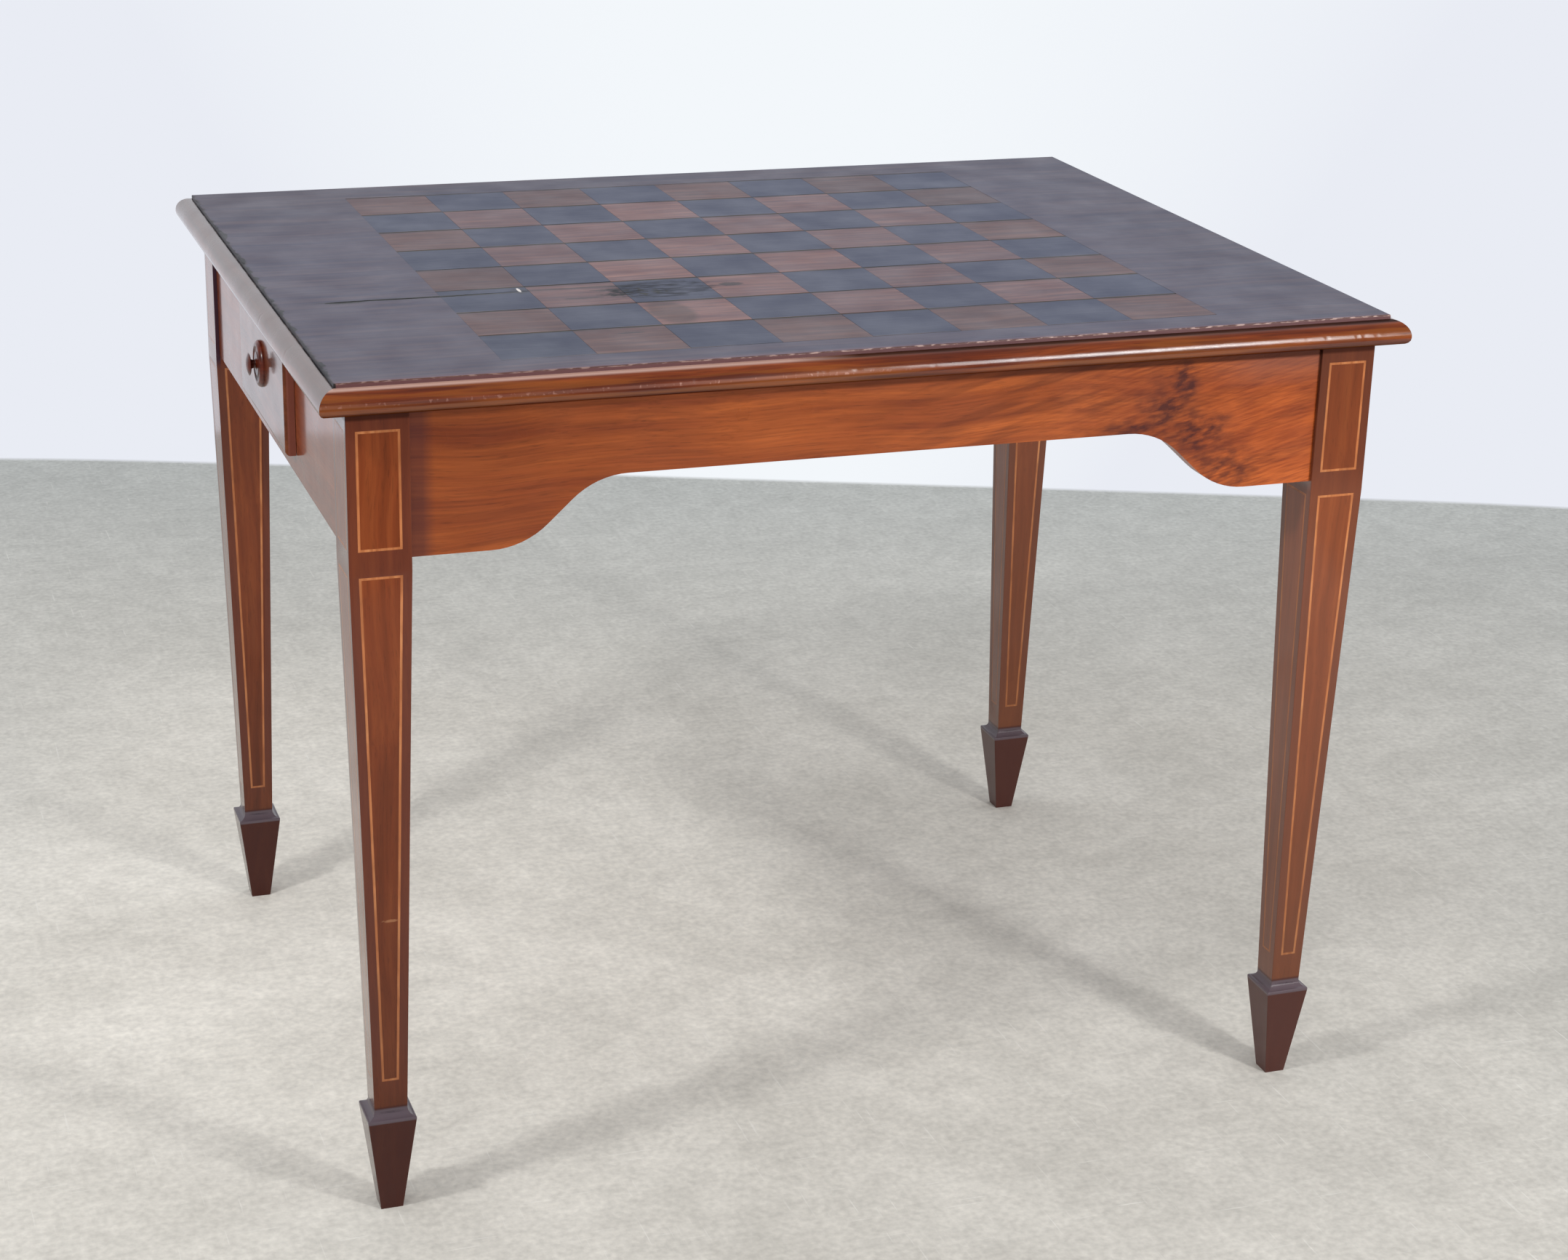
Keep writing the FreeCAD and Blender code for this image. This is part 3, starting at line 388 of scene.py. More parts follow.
def rubbed_moulding(tree, position, colour, rough):
    """Front moulding: a pale band at the left, dirt along the rest, a few nicks on the nose, a painted
    reflection along the nose at the left, painted shade on the underside.
    """
    x, _, z = add(tree, "SeparateXYZ", [position]).node.outputs
    foot = TOP_HIGH - RISER
    under_riser = add(tree, "MapRange", [z, foot - 1.8 * MM, foot - 0.8 * MM])
    right_part = add(tree, "MapRange", [x, -0.09, -0.03])
    pale = product(tree, under_riser, add(tree, "MapRange", [right_part, 0, 1, 0.95, 0]))
    dirt = product(tree, under_riser, right_part, 0.85)
    level = product(tree, add(tree, "MapRange", [z, TOP_LOW + 7.6 * MM, TOP_LOW + 8.6 * MM]),
                    add(tree, "MapRange", [z, TOP_LOW + 11.0 * MM, TOP_LOW + 10.0 * MM]))
    left_part = product(tree, add(tree, "MapRange", [x, 0.02, -0.04]),
                        add(tree, "MapRange", [x, -0.32, -0.15, 0.4, 1.0]))
    nicks = speckle(tree, position, (3.2, 4), (0.60, 0.70), detail=2.0)
    nicked = product(tree, level, nicks, left_part, 0.5)
    # Painted reflection: a faint pale line along the nose at the left, where the gloss would show the room's
    # bright horizon.
    wear_and_painted_reflection = product(tree, level, left_part, 0.35)
    blotch = product(tree, speckle(tree, position, (90, 4), (0.45, 0.65)), 0.5)
    amber = product(tree, speckle(tree, position, (140, 6), (0.55, 0.42)), 0.4)
    # Painted shade on the underside of the moulding.
    below = add(tree, "MapRange", [z, TOP_LOW + 4.0 * MM, TOP_LOW + 1.5 * MM])
    colour = painted(tree, colour, (blotch, "#42180E"), (amber, "#94521A"), (pale, "#B08C7E"),
                     (dirt, "#1E100C"), (wear_and_painted_reflection, "#B07A68"), (nicked, "#D0A090"),
                     (product(tree, below, 0.5), "#2A120C"))
    rough = add(tree, "Math", [dirt, 0.4, rough], operation="MULTIPLY_ADD")
    return colour, rough, most(tree, dirt, below, product(tree, pale, 0.6))


def dusty_moulding(tree, position, colour, rough):
    """Left moulding: greyed by dust, with dirt packed against the riser and painted shade along the
    underside.
    """
    x, _, z = add(tree, "SeparateXYZ", [position]).node.outputs
    packed = product(tree, add(tree, "MapRange", [x, -TOP_HALF_X - 1.6 * MM, -TOP_HALF_X - 0.8 * MM]),
                     speckle(tree, position, (24, 24), (0.36, 0.52)), 0.9)
    dust = product(tree, add(tree, "MapRange", [z, TOP_LOW + 5 * MM, TOP_LOW + 14 * MM]), 0.8)
    # Painted shade on the underside of the moulding.
    below = add(tree, "MapRange", [z, TOP_LOW + 5.0 * MM, TOP_LOW + 2.5 * MM])
    colour = painted(tree, colour, (dust, "#5C5048"), (packed, "#0C0A0A"),
                     (product(tree, below, 0.7), "#1E0E0A"))
    return colour, rough, most(tree, packed, below, product(tree, dust, 0.25))


def off_leg_middle(tree, position):
    """Distances along X and Y from the middle of the leg that a point belongs to."""
    middle = (LEG_MIDDLE.x, -LEG_MIDDLE.y, 0.0)
    size = add(tree, "VectorMath", [position], operation="ABSOLUTE")
    off = add(tree, "VectorMath", [size, middle], operation="SUBTRACT")
    distance = add(tree, "VectorMath", [off], operation="ABSOLUTE")
    return add(tree, "SeparateXYZ", [distance]).node.outputs[:2]


def leg_tones(tree, position, colour, rough):
    """Legs: painted shade towards the floor and painted light on the right legs, darker outside the
    stringing, spade feet nearly black, a scrape, painted shade in the back corner and a painted shadow under
    the top.
    """
    x, y, z = add(tree, "SeparateXYZ", [position]).node.outputs
    # Painted light and shade: darker towards the floor and lighter on the right legs, following how the
    # lamps' light falls.
    painted_light_falloff = product(tree, add(tree, "MapRange", [z, 0.10, 0.58, 0.46, 1.1]),
                      add(tree, "MapRange", [x, -0.42, 0.42, 0.92, 1.08]))
    colour = add(tree, "VectorMath", {0: colour, "Scale": painted_light_falloff}, operation="SCALE")
    off_x, off_y = off_leg_middle(tree, position)
    across = add(tree, "Math", [off_x, off_y], operation="MINIMUM")
    half = add(tree, "MapRange", [z, NECK_Z, KNEE_Z, NECK_HALF - PANEL_MARGIN, LEG_HALF - PANEL_MARGIN])
    beyond = add(tree, "Math", [across, half], operation="SUBTRACT")
    border = most(tree, add(tree, "MapRange", [beyond, -0.4 * MM, 0.4 * MM]), *(
        product(tree, add(tree, "MapRange", [z, low - MM, low]), add(tree, "MapRange", [z, high + MM, high]))
        for low, high in PLAIN_BANDS))
    border = product(tree, border, add(tree, "MapRange", [z, 0.10, 0.16, 0.0, 0.55]))
    right_leg = add(tree, "MapRange", [x, 0.35, 0.38])
    right_block = product(tree, add(tree, "MapRange", [z, 0.57, 0.60]), right_leg, 0.35)
    right_shaft = product(tree, add(tree, "MapRange", [z, 0.60, 0.57]), right_leg, 0.3)
    # Painted shade and dirt in the inner corner of the back left leg, beside the drawer front.
    corner_shade_and_dirt = product(tree, add(tree, "MapRange", [x, -0.4398, -0.4406]),
                         add(tree, "MapRange", [z, 0.57, 0.58]),
                         add(tree, "MapRange", [y, 0.2, 0.25]), add(tree, "MapRange", [y, 0.2995, 0.2985]))
    stained = product(tree, add(tree, "MapRange", [z, 0.1005, 0.0985]), 0.75)
    shoulder = product(tree, add(tree, "MapRange", [z, 0.0985, 0.0970]),
                       add(tree, "MapRange", [z, 0.0868, 0.0878]), 0.5)
    scrape = product(tree, ellipse_mask(tree, position, (-416, -346, 272), (9, 8, 1.6), 0.4, 3), 0.4)
    shadow = product(tree, add(tree, "MapRange", [z, TOP_LOW - 9.0 * MM, TOP_LOW - 7.0 * MM]), 0.75)
    colour = painted(tree, colour, (border, "#562C24"), (right_block, "#5A3A2A"),
                     (right_shaft, "#84563E"), (corner_shade_and_dirt, "#4A343E"), (stained, "#381A18"),
                     (product(tree, stained, right_leg, 0.6), "#52302C"), (shoulder, "#6A6670"),
                     (scrape, "#C08A60"), (shadow, "#34160E"))
    return colour, rough, most(tree, corner_shade_and_dirt, product(tree, shadow, 0.6), product(tree, stained, 0.4))


def old_lines(tree, position, colour, rough):
    """Stringing: fainter on the faces towards the ends of the table, with painted shade darker near the
    floor.
    """
    z = add(tree, "SeparateXYZ", [position], take="Z")
    off_x, off_y = off_leg_middle(tree, position)
    wider = add(tree, "Math", [off_x, off_y], operation="SUBTRACT")
    end_face = product(tree, add(tree, "MapRange", [wider, 3 * MM, 5 * MM]), 0.35)
    # Painted shade: darker towards the floor, as on the legs.
    colour = toned(tree, colour, z, (0.10, 0.50), (0.6, 1.0))
    grubby = speckle(tree, position, (20, 20), (0.40, 0.60))
    colour = painted(tree, colour, (end_face, "#7A4A30"), (product(tree, grubby, 0.25), "#6A3C24"))
    return colour, rough, end_face


def pale_end(tree, position, colour, rough):
    """Drawer front: painted light on the ends of its lip, which are made lighter than its face."""
    y = add(tree, "SeparateXYZ", [position], take="Y")
    side = add(tree, "Math", [y], operation="ABSOLUTE")
    # Painted light: the ends of the lip lie in the leg's shadow and are made lighter as if lit.
    lip_end_light = product(tree, add(tree, "MapRange", [side, LIP_HALF - 0.6 * MM, LIP_HALF - 0.1 * MM]), 0.8)
    return painted(tree, colour, (lip_end_light, "#96584A")), rough, product(tree, lip_end_light, 0.5)


# French polish: a clear, glossy skin, hardly seen head on and like a mirror at low angles.
POLISH = {"Specular IOR Level": 0.1, "Coat Weight": 1.0, "Coat Roughness": 0.1, "Coat IOR": 1.38}
# The same polish built up thick on the mouldings, where it takes a hard highlight.
THICK_POLISH = {"Specular IOR Level": 0.3, "Coat Weight": 1.0, "Coat Roughness": 0.08, "Coat IOR": 1.45}
# The same polish worn to a satin by handling.
WORN_POLISH = {"Specular IOR Level": 0.2, "Coat Weight": 0.6, "Coat Roughness": 0.22}
# Old wax on the top has bloomed: a thin blue grey haze that shows at low angles.
BLOOM = {"Sheen Weight": 0.18, "Sheen Roughness": 0.4, "Sheen Tint": (0.35, 0.46, 1.0, 1.0)}
THIN_BLOOM = {"Sheen Weight": 0.1, "Sheen Roughness": 0.4, "Sheen Tint": (0.35, 0.46, 1.0, 1.0)}

# Mahogany darkened by age under old wax: brown black from above, grey with haze along the surface.
top_mahogany = wood("aged_mahogany_waxed_top", "X", ("#30211A", "#3E2C20", "#4C382A"), figure=(340, 9),
                    lines=(150, 3), contrast=0.3, roughness=0.46, marks=worn_arris, finish=BLOOM)
# Ebonised veneer: nearly black, with fine streaks along the grain.
ebonised = wood("ebonised_veneer", "X", ("#080808", "#121210", "#20201C"), figure=(120, 6), lines=(90, 3),
                contrast=0.3, roughness=0.46, marks=board_marks, finish=BLOOM)
# Red stained veneer that has faded to a pinkish brown.
red_square = wood("faded_red_stained_veneer", "X", ("#5C3628", "#6C4432", "#7C523E"), figure=(90, 7),
                  lines=(60, 2.6), contrast=0.24, roughness=0.46, marks=faded_marks, finish=THIN_BLOOM)
# Polished mahogany mouldings: red brown and glossy where hands rub them.
moulding_tones = ("#5A230C", "#6E2E10", "#863E16")
front_moulding = wood("polished_mahogany_moulding_front", "X", moulding_tones, figure=(150, 5),
                      roughness=0.2, marks=rubbed_moulding, finish=THICK_POLISH)
left_moulding = wood("polished_mahogany_moulding_left", "Y", moulding_tones, figure=(150, 5), roughness=0.3,
                     marks=dusty_moulding, finish=THICK_POLISH)
moulding_mahogany = {axis: wood("polished_mahogany_moulding_" + axis.lower(), axis, moulding_tones,
                                figure=(150, 5), roughness=0.2, finish=THICK_POLISH) for axis in "XY"}
# Figured mahogany veneer on the aprons: warm orange brown under French polish.
apron_tones = ("#80391A", "#984A20", "#B05A28")
front_veneer = wood("figured_mahogany_veneer_front", "X", apron_tones, figure=(230, 17), roughness=0.33,
                    contrast=0.16, marks=crotch_figure, finish=WORN_POLISH)
apron_mahogany = wood("mahogany_veneer_apron_back", "X", apron_tones, figure=(230, 15), roughness=0.3,
                      finish=POLISH)
end_mahogany = wood("mahogany_veneer_apron_end", "Y", ("#783A1C", "#843F1E", "#924A24"), figure=(230, 15),
                    roughness=0.3, finish=dict(POLISH, **{"Coat Weight": 0.88}))
# Straight grained mahogany legs, a little darker than the aprons.
leg_mahogany = wood("mahogany_leg", "Z", ("#743414", "#803A18", "#8C441E"), figure=(220, 7), contrast=0.07,
                    roughness=0.34, marks=leg_tones, finish=POLISH)
# The drawer front: plainer mahogany, darker and browner than the aprons.
drawer_mahogany = wood("mahogany_drawer_front", "Y", ("#5C2C18", "#6C361E", "#7E4226"), figure=(200, 10),
                       roughness=0.3, marks=pale_end, finish=POLISH)
# Turned mahogany, dark with handling and glossy.
knob_mahogany = wood("turned_mahogany_knob", "X", ("#44180C", "#5A2010", "#702C18"), figure=(40, 5),
                     roughness=0.4, finish=WORN_POLISH)
# Boxwood lines: dense, pale yellow wood gone amber under old polish.
boxwood = wood("boxwood_stringing", "Z", ("#B0683C", "#C47848", "#D08A58"), figure=(60, 4), contrast=0.06,
               pore_depth=0.0, roughness=0.34, marks=old_lines, finish=POLISH)
# Quartered drawer linings, never polished, greyed by dust.
drawer_lining = wood("unpolished_drawer_lining", "X", ("#7C5A3C", "#94704E", "#A88460"), figure=(260, 12),
                     roughness=0.62, wave=0.01)
# Sawn pine inside the carcase: yellow brown with dark growth rings, dry and dull.
pine = {axis: wood("sawn_pine_carcase_" + axis.lower(), axis, ("#8C6238", "#A87C4C", "#BC9460"),
                   figure=(400, 8), lines=(200, 2.6), contrast=0.22, pore_depth=0.1, roughness=0.7,
                   wave=0.01) for axis in "XY"}


def steel():
    """Old steel wood screws: dull grey with a skin of brown rust."""
    material, tree = new_material("rusted_steel_screw")
    position = add(tree, "TexCoord", take="Object")
    spots = add(tree, "TexNoise", {"Vector": position, "Scale": per_mm(2.5), "Detail": 4.0})
    rust = add(tree, "ValToRGB", {"Fac": spots}, stops=[(0.4, linear("#6F6A64")), (0.6, linear("#4A3020"))])
    rough = add(tree, "MapRange", {"Value": spots, "To Min": 0.35, "To Max": 0.7})
    surface = add(tree, "BsdfPrincipled", {"Base Color": rust, "Roughness": rough, "Metallic": 0.8})
    add(tree, "OutputMaterial", {"Surface": surface})
    return material


steel_screw = steel()


# ---- mesh helpers --------------------------------------------------------------------------------
def piece(name, mesh, material, body, node):
    """Put a finished mesh in the scene in place of one CAD node."""
    mesh.materials.clear()
    mesh.materials.append(material)
    made = bpy.data.objects.new(name, mesh)
    bpy.context.scene.collection.objects.link(made)
    level = made.modifiers.new("level_faces", "WEIGHTED_NORMAL")
    level.keep_sharp = True
    level.weight = 100
    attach(made, body)
    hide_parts(node)


def grid_faces(rings):
    """Quads between closed rings of vertices, each ring a list of the same length."""
    faces = []
    for low, high in zip(rings, rings[1:]):
        for i in range(len(low)):
            j = (i + 1) % len(low)
            faces.append((low[i], low[j], high[j], high[i]))
    return faces


def quarter_turn(steps):
    """Angles from 0 to 90 degrees, both ends included."""
    return [math.pi / 2 * i / steps for i in range(steps + 1)]


def finish_mesh(name, points, faces, smooth_below=40):
    """Mesh with its faces turned outwards, smooth where they meet below this angle in degrees."""
    mesh = bpy.data.meshes.new(name)
    mesh.from_pydata(points, [], faces)
    shape = bmesh.new()
    shape.from_mesh(mesh)
    bmesh.ops.recalc_face_normals(shape, faces=shape.faces)
    shape.to_mesh(mesh)
    shape.free()
    mesh.shade_smooth()
    mesh.set_sharp_from_angle(angle=math.radians(smooth_below))
    return mesh


def softened(node, name, width, chosen):
    """Copy of a CAD node's mesh with the chosen arrises rounded."""
    shape = bmesh.new()
    shape.from_mesh(nodes[node].data)
    bmesh.ops.remove_doubles(shape, verts=shape.verts, dist=0.004 * MM)
    bmesh.ops.dissolve_limit(shape, angle_limit=math.radians(0.5), verts=shape.verts, edges=shape.edges)
    sharp = [e for e in shape.edges if len(e.link_faces) == 2 and chosen(e)]
    bmesh.ops.bevel(shape, geom=sharp, offset=width, segments=2, profile=0.5, affect="EDGES",
                    clamp_overlap=True)
    mesh = bpy.data.meshes.new(name)
    shape.to_mesh(mesh)
    shape.free()
    mesh.shade_smooth()
    mesh.set_sharp_from_angle(angle=math.radians(35))
    return mesh


class Nicks:
    """Small dents scattered along an edge: depth at a place along and across it."""

    LEVELS = (0.45, 1.0)          # where the edge sticks out most

    def __init__(self, seed, length, count, radius, depth, favour):
        draw = random.Random(seed)
        self.dents = []
        while len(self.dents) < count:
            along = draw.uniform(-length, length)
            if draw.random() < favour(along):
                size = draw.uniform(*radius) * MM
                self.dents.append((along, draw.uniform(*self.LEVELS), size, draw.uniform(*depth) * MM))

    def depth(self, along, across):
        total = 0.0
        for place, level, size, deep in self.dents:
            off = (along - place) / size
            if abs(off) < 3:
                total += deep * math.exp(-off * off - ((across - level) * 3) ** 2)
        return total


# ---- top -----------------------------------------------------------------------------------------
def rectangle_ring(middle, half_x, half_y, z, points):
    """Points on a rectangle, the same number for each side whatever its size."""
    corners = [(-half_x, -half_y), (half_x, -half_y), (half_x, half_y), (-half_x, half_y)]
    counts = [round(TOP_HALF_X * 2 / STEP), round(TOP_HALF_Y * 2 / STEP)] * 2
    ring = []
    for side in range(4):
        (x0, y0), (x1, y1) = corners[side], corners[(side + 1) % 4]
        for i in range(counts[side]):
            share = i / counts[side]
            x = middle[0] + x0 + (x1 - x0) * share
            y = middle[1] + y0 + (y1 - y0) * share
            ring.append(len(points))
            points.append(Vector((x, y, z)))
    return ring


def solid_top():
    """The solid top with worn arrises: chipped along the left, nicked along the front."""
    points = []
    rings = [rectangle_ring((0, 0), TOP_HALF_X, TOP_HALF_Y, TOP_LOW, points)]
    levels = [(0.0, -WORN_DOWN)]
    for turn in quarter_turn(4):
        levels.append((ARRIS * (1 - math.cos(turn)), -ARRIS * (1 - math.sin(turn))))
    levels += [(1.6 * MM, 0.0), (2.6 * MM, 0.0), (4.0 * MM, 0.0), (9.0 * MM, 0.0)]
    worn = []
    for inward, drop in levels:
        ring = rectangle_ring((0, 0), TOP_HALF_X - inward, TOP_HALF_Y - inward, TOP_HIGH + drop, points)
        rings.append(ring)
        worn.append((ring, inward))
    rings.append(rectangle_ring(BOARD_MIDDLE, BOARD_HALF, BOARD_HALF, TOP_HIGH, points))
    rings.append(rectangle_ring(BOARD_MIDDLE, BOARD_HALF, BOARD_HALF, SQUARE_LOW, points))
    front = Nicks(3, TOP_HALF_X, 70, (0.8, 2.2), (0.2, 0.7), lambda x: 0.2 if x < -0.1 else 0.9)
    left = Nicks(5, TOP_HALF_Y, 60, (2.5, 6.0), (0.2, 0.8), lambda y: 0.9)
    for ring, inward in worn:
        fade = max(0.0, 1 - inward / WORN_INWARD)
        for index in ring:
            p = points[index]
            if p.y < -TOP_HALF_Y + WORN_STRIP:
                p.z -= min(front.depth(p.x, 0.5) * fade, 1.4 * MM)
            if p.x < -TOP_HALF_X + WORN_STRIP:
                p.z -= min(left.depth(p.y, 0.5) * fade, 1.6 * MM)
    faces = grid_faces(rings)
    faces += [tuple(rings[0]), tuple(rings[-1])]
    return finish_mesh("top", points, faces)


def crack_cutter(z_low, z_high):
    """Jagged sliver along the crack in the top."""
    draw = random.Random(11)
    count = 46
    upper, lower = [], []
    for i in range(count + 1):
        share = i / count
        x = CRACK_START + (CRACK_END - CRACK_START) * share
        y = CRACK_Y + 1.1 * MM * math.sin(share * 9) + draw.uniform(-0.2, 0.2) * MM + share * CRACK_DRIFT
        half = (1.1 - 0.7 * share) * MM * min(1, share * 12 + 0.2) * draw.uniform(0.75, 1.25)
        upper.append((x, y + half))
        lower.append((x, y - half))
    outline = upper + lower[::-1]
    total = len(outline)
    points = [(x, y, z_low) for x, y in outline] + [(x, y, z_high) for x, y in outline]
    faces = [tuple(range(total)), tuple(range(total, 2 * total))]
    faces += [(i, (i + 1) % total, (i + 1) % total + total, i + total) for i in range(total)]
    return finish_mesh("crack_cutter", points, faces)


def carved(mesh, cutter):
    """Mesh with a cutter taken out of it."""
    scene = bpy.context.scene.collection.objects
    block = bpy.data.objects.new("block", mesh)
    tool = bpy.data.objects.new("tool", cutter)
    scene.link(block)
    scene.link(tool)
    cut = block.modifiers.new("cut", "BOOLEAN")
    cut.operation = "DIFFERENCE"
    cut.solver = "EXACT"
    cut.object = tool
    bpy.context.view_layer.update()
    result = bpy.data.meshes.new_from_object(block.evaluated_get(bpy.context.evaluated_depsgraph_get()))
    result.name = mesh.name + "_carved"
    bpy.data.objects.remove(block)
    bpy.data.objects.remove(tool)
    return result


def inlaid_squares(dark, name, chosen):
    """Squares of one colour, each let in a hair out of level, with open joints along the rows."""
    draw = random.Random(21 if dark else 22)
    points, faces = [], []
    for column in range(SQUARES):
        for row in range(SQUARES):
            if ((column + row) % 2 == 0) != dark or not chosen(column, row):
                continue
            x0 = BOARD_LOW.x + column * SQUARE
            y0 = BOARD_LOW.y + row * SQUARE
            low = len(points)
            bevel_x = JOINT_BEVEL_COLUMN
            bevel_y = JOINT_BEVEL_ROW * draw.uniform(0.5, 1.2)
            layers = ((0, 0, SQUARE_LOW), (0, 0, TOP_HIGH - bevel_y * 0.8), (bevel_x, bevel_y, TOP_HIGH))
            for inset_x, inset_y, z in layers:
                for cx, cy in ((0, 0), (1, 0), (1, 1), (0, 1)):
                    x = x0 + inset_x + cx * (SQUARE - 2 * inset_x)
                    y = y0 + inset_y + cy * (SQUARE - 2 * inset_y)
                    sunk = draw.uniform(0.0, 0.12) * MM if z == TOP_HIGH else 0.0
                    points.append((x, y, z - sunk))
            faces.append((low + 3, low + 2, low + 1, low))
            faces.append((low + 8, low + 9, low + 10, low + 11))
            for layer in range(2):
                for i in range(4):
                    a = low + layer * 4 + i
                    b = low + layer * 4 + (i + 1) % 4
                    faces.append((a, b, b + 4, a + 4))
    return finish_mesh(name, points, faces, 5)


top = carved(solid_top(), crack_cutter(TOP_HIGH - 1.8 * MM, TOP_HIGH + MM))
piece("solid_top", top, top_mahogany, "table", "top_panel")
dark_squares = bmesh.new()
dark_squares.from_mesh(inlaid_squares(True, "whole_squares", lambda *cell: cell != CRACKED_SQUARE))
dark_squares.from_mesh(carved(inlaid_squares(True, "cracked_square", lambda *cell: cell == CRACKED_SQUARE),
                              crack_cutter(TOP_HIGH - 1.5 * MM, TOP_HIGH + MM)))
dark_mesh = bpy.data.meshes.new("dark_squares")
dark_squares.to_mesh(dark_mesh)
dark_squares.free()
piece("dark_squares", dark_mesh, ebonised, "table", "board_dark_squares")
piece("light_squares", inlaid_squares(False, "light_squares", lambda *cell: True), red_square, "table",
      "board_light_squares")


# ---- mouldings -----------------------------------------------------------------------------------
def moulding(name, outward, half_length, edge, gap, nicks):
    """Moulding with mitred ends: ovolo, nose and rounded underside, worn along its length."""
    high = TOP_HIGH - RISER
    nose_low = TOP_LOW + UNDER_ROUND
    nose_high = nose_low + NOSE_HEIGHT
    along = Vector((-outward.y, outward.x, 0))
    profile = [(gap, high - GAP_DEPTH), (gap, high - 0.5 * MM)]
    for turn in quarter_turn(OVOLO_STEPS):
        out = max(gap, PROJECTION * math.sin(turn))
        profile.append((out, nose_high + (high - nose_high) * math.cos(turn)))
    profile.append((PROJECTION, nose_high - NOSE_HEIGHT * 0.5))
    for turn in quarter_turn(4):
        out = PROJECTION - UNDER_ROUND * (1 - math.cos(turn))
        profile.append((out, nose_low - UNDER_ROUND * math.sin(turn)))
    profile += [(0, TOP_LOW), (0, high - GAP_DEPTH)]
    count = round(2 * half_length / STEP)
    points, rings = [], []
    for i in range(count + 1):
        share = 2 * i / count - 1
        ring = []
        for k, (out, z) in enumerate(profile):
            s = share * (half_length + out)
            across = (k - 2) / (OVOLO_STEPS + 2)
            depth = nicks.depth(s, across) if 4 < k < len(profile) - 3 else 0.0
            wobble = 0.0
            if 2 < k < len(profile) - 3:
                wobble = abs(noise.noise(Vector((s * 60, k * 0.35, edge * 9)))) * WOBBLE
            ring.append(len(points))
            points.append(along * s + outward * (edge + out - depth * 0.8 - wobble))
            points[-1].z += z - depth * 0.4
        rings.append(ring)
    faces = grid_faces(rings)
    faces += [tuple(rings[0]), tuple(rings[-1])]
    return finish_mesh(name, points, faces, 50)


# Side, outward direction, half length, distance from the middle, gap to the riser in mm, nicks, material.
runs = (
    ("front", Vector((0, -1, 0)), TOP_HALF_X, TOP_HALF_Y, 0.15, 26, front_moulding),
    ("back", Vector((0, 1, 0)), TOP_HALF_X, TOP_HALF_Y, 0.15, 20, moulding_mahogany["X"]),
    ("left", Vector((-1, 0, 0)), TOP_HALF_Y, TOP_HALF_X, 0.3, 8, left_moulding),
    ("right", Vector((1, 0, 0)), TOP_HALF_Y, TOP_HALF_X, 0.3, 16, moulding_mahogany["Y"]),
)
for number, (side, outward, half_length, edge, gap, count, material) in enumerate(runs):
    nicks = Nicks(40 + number, half_length, count, (0.5, 1.4), (0.1, 0.3), lambda s: 1.0)
    mesh = moulding("moulding_" + side, outward, half_length, edge, gap * MM, nicks)
    piece("moulding_" + side, mesh, material, "table", "edge_moulding_" + side)


# ---- legs ----------------------------------------------------------------------------------------
LEG_CORNERS = ("front_left", "front_right", "back_left", "back_right")


def leg_arris(middle):
    """Picks the four long corners of a leg, from the foot to the top."""
    def chosen(edge):
        a, b = (v.co - middle for v in edge.verts)
        on_corner = all(abs(abs(p.x) - abs(p.y)) < 0.05 * MM and abs(p.x) > 8 * MM for p in (a, b))
        return on_corner and abs(a.z - b.z) > 0.3 * MM
    return chosen


for corner in LEG_CORNERS:
    low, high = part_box("leg_" + corner)
    middle = (low + high) / 2
    mesh = softened("leg_" + corner, "tapered_leg_" + corner, LEG_ARRIS, leg_arris(middle))
    piece("tapered_leg_" + corner, mesh, leg_mahogany, "table", "leg_" + corner)


# ---- the remaining CAD nodes keep their shape ------------------------------------------------------
finishes = {
    "apron_front": front_veneer,
    "apron_back": apron_mahogany,
    "apron_drawer_end": end_mahogany,
    "apron_plain_end": end_mahogany,
    "drawer_front": drawer_mahogany,
    "knob_rosette": knob_mahogany,
    "drawer_knob": knob_mahogany,
    "drawer_back": drawer_lining,
    "drawer_bottom": drawer_lining,
    "drawer_cross_rail": pine["Y"],
    "glue_blocks": pine["X"],
    "top_screws": steel_screw,
    "kicker_screws": steel_screw,
    "drawer_bottom_screws": steel_screw,
}
for end in ("front", "back"):
    finishes["drawer_side_" + end] = drawer_lining
    for part in ("runner", "guide", "kicker"):
        finishes["drawer_" + part + "_" + end] = pine["X"]
for corner in LEG_CORNERS:
    finishes["leg_stringing_" + corner] = boxwood
    finishes["corner_block_" + corner] = pine["X"]
for node, material in finishes.items():
    for place in nodes[node].material_slots:
        place.material = material

# ---- room ----------------------------------------------------------------------------------------
FLOOR_HALF = 30.0
BACKDROP = "#E9ECF4"
BACKDROP_BRIGHT = "#F3F7FB"
BACKDROP_MIDDLE = (0.336, 0.942, 0.0)   # the backdrop is brightest in this direction
BACKDROP_AWAY = 1.66          # the floor turns into the pale backdrop this far from the table
BACKDROP_TURN = math.radians(-20.8)
BACKDROP_EDGE = 8 * MM        # softness of the line between them
FLOOR_CORNER = 8.0            # the floor's outline is a superellipse of this power, round at its corners
FILL = 0.78
DIM_ROOM = 0.12               # what a gloss shows of the room in front of the table
CORE_SHARE = 0.28             # size of the bright middle of a softbox
LENS, SENSOR = 68.283, 36.0
CAMERA_PLACE = (-0.8566, -2.5099, 1.3325)
CAMERA_HEADING, CAMERA_DROP, CAMERA_ROLL = -0.3426, 0.3499, 0.0255


def wall_colour(tree, level):
    """Colour of the backdrop in a level direction: a little lighter in the middle."""
    towards = add(tree, "VectorMath", [level, BACKDROP_MIDDLE], operation="DOT_PRODUCT", take="Value")
    return painted(tree, linear(BACKDROP), (add(tree, "MapRange", [towards, 0.955, 0.998]), BACKDROP_BRIGHT))


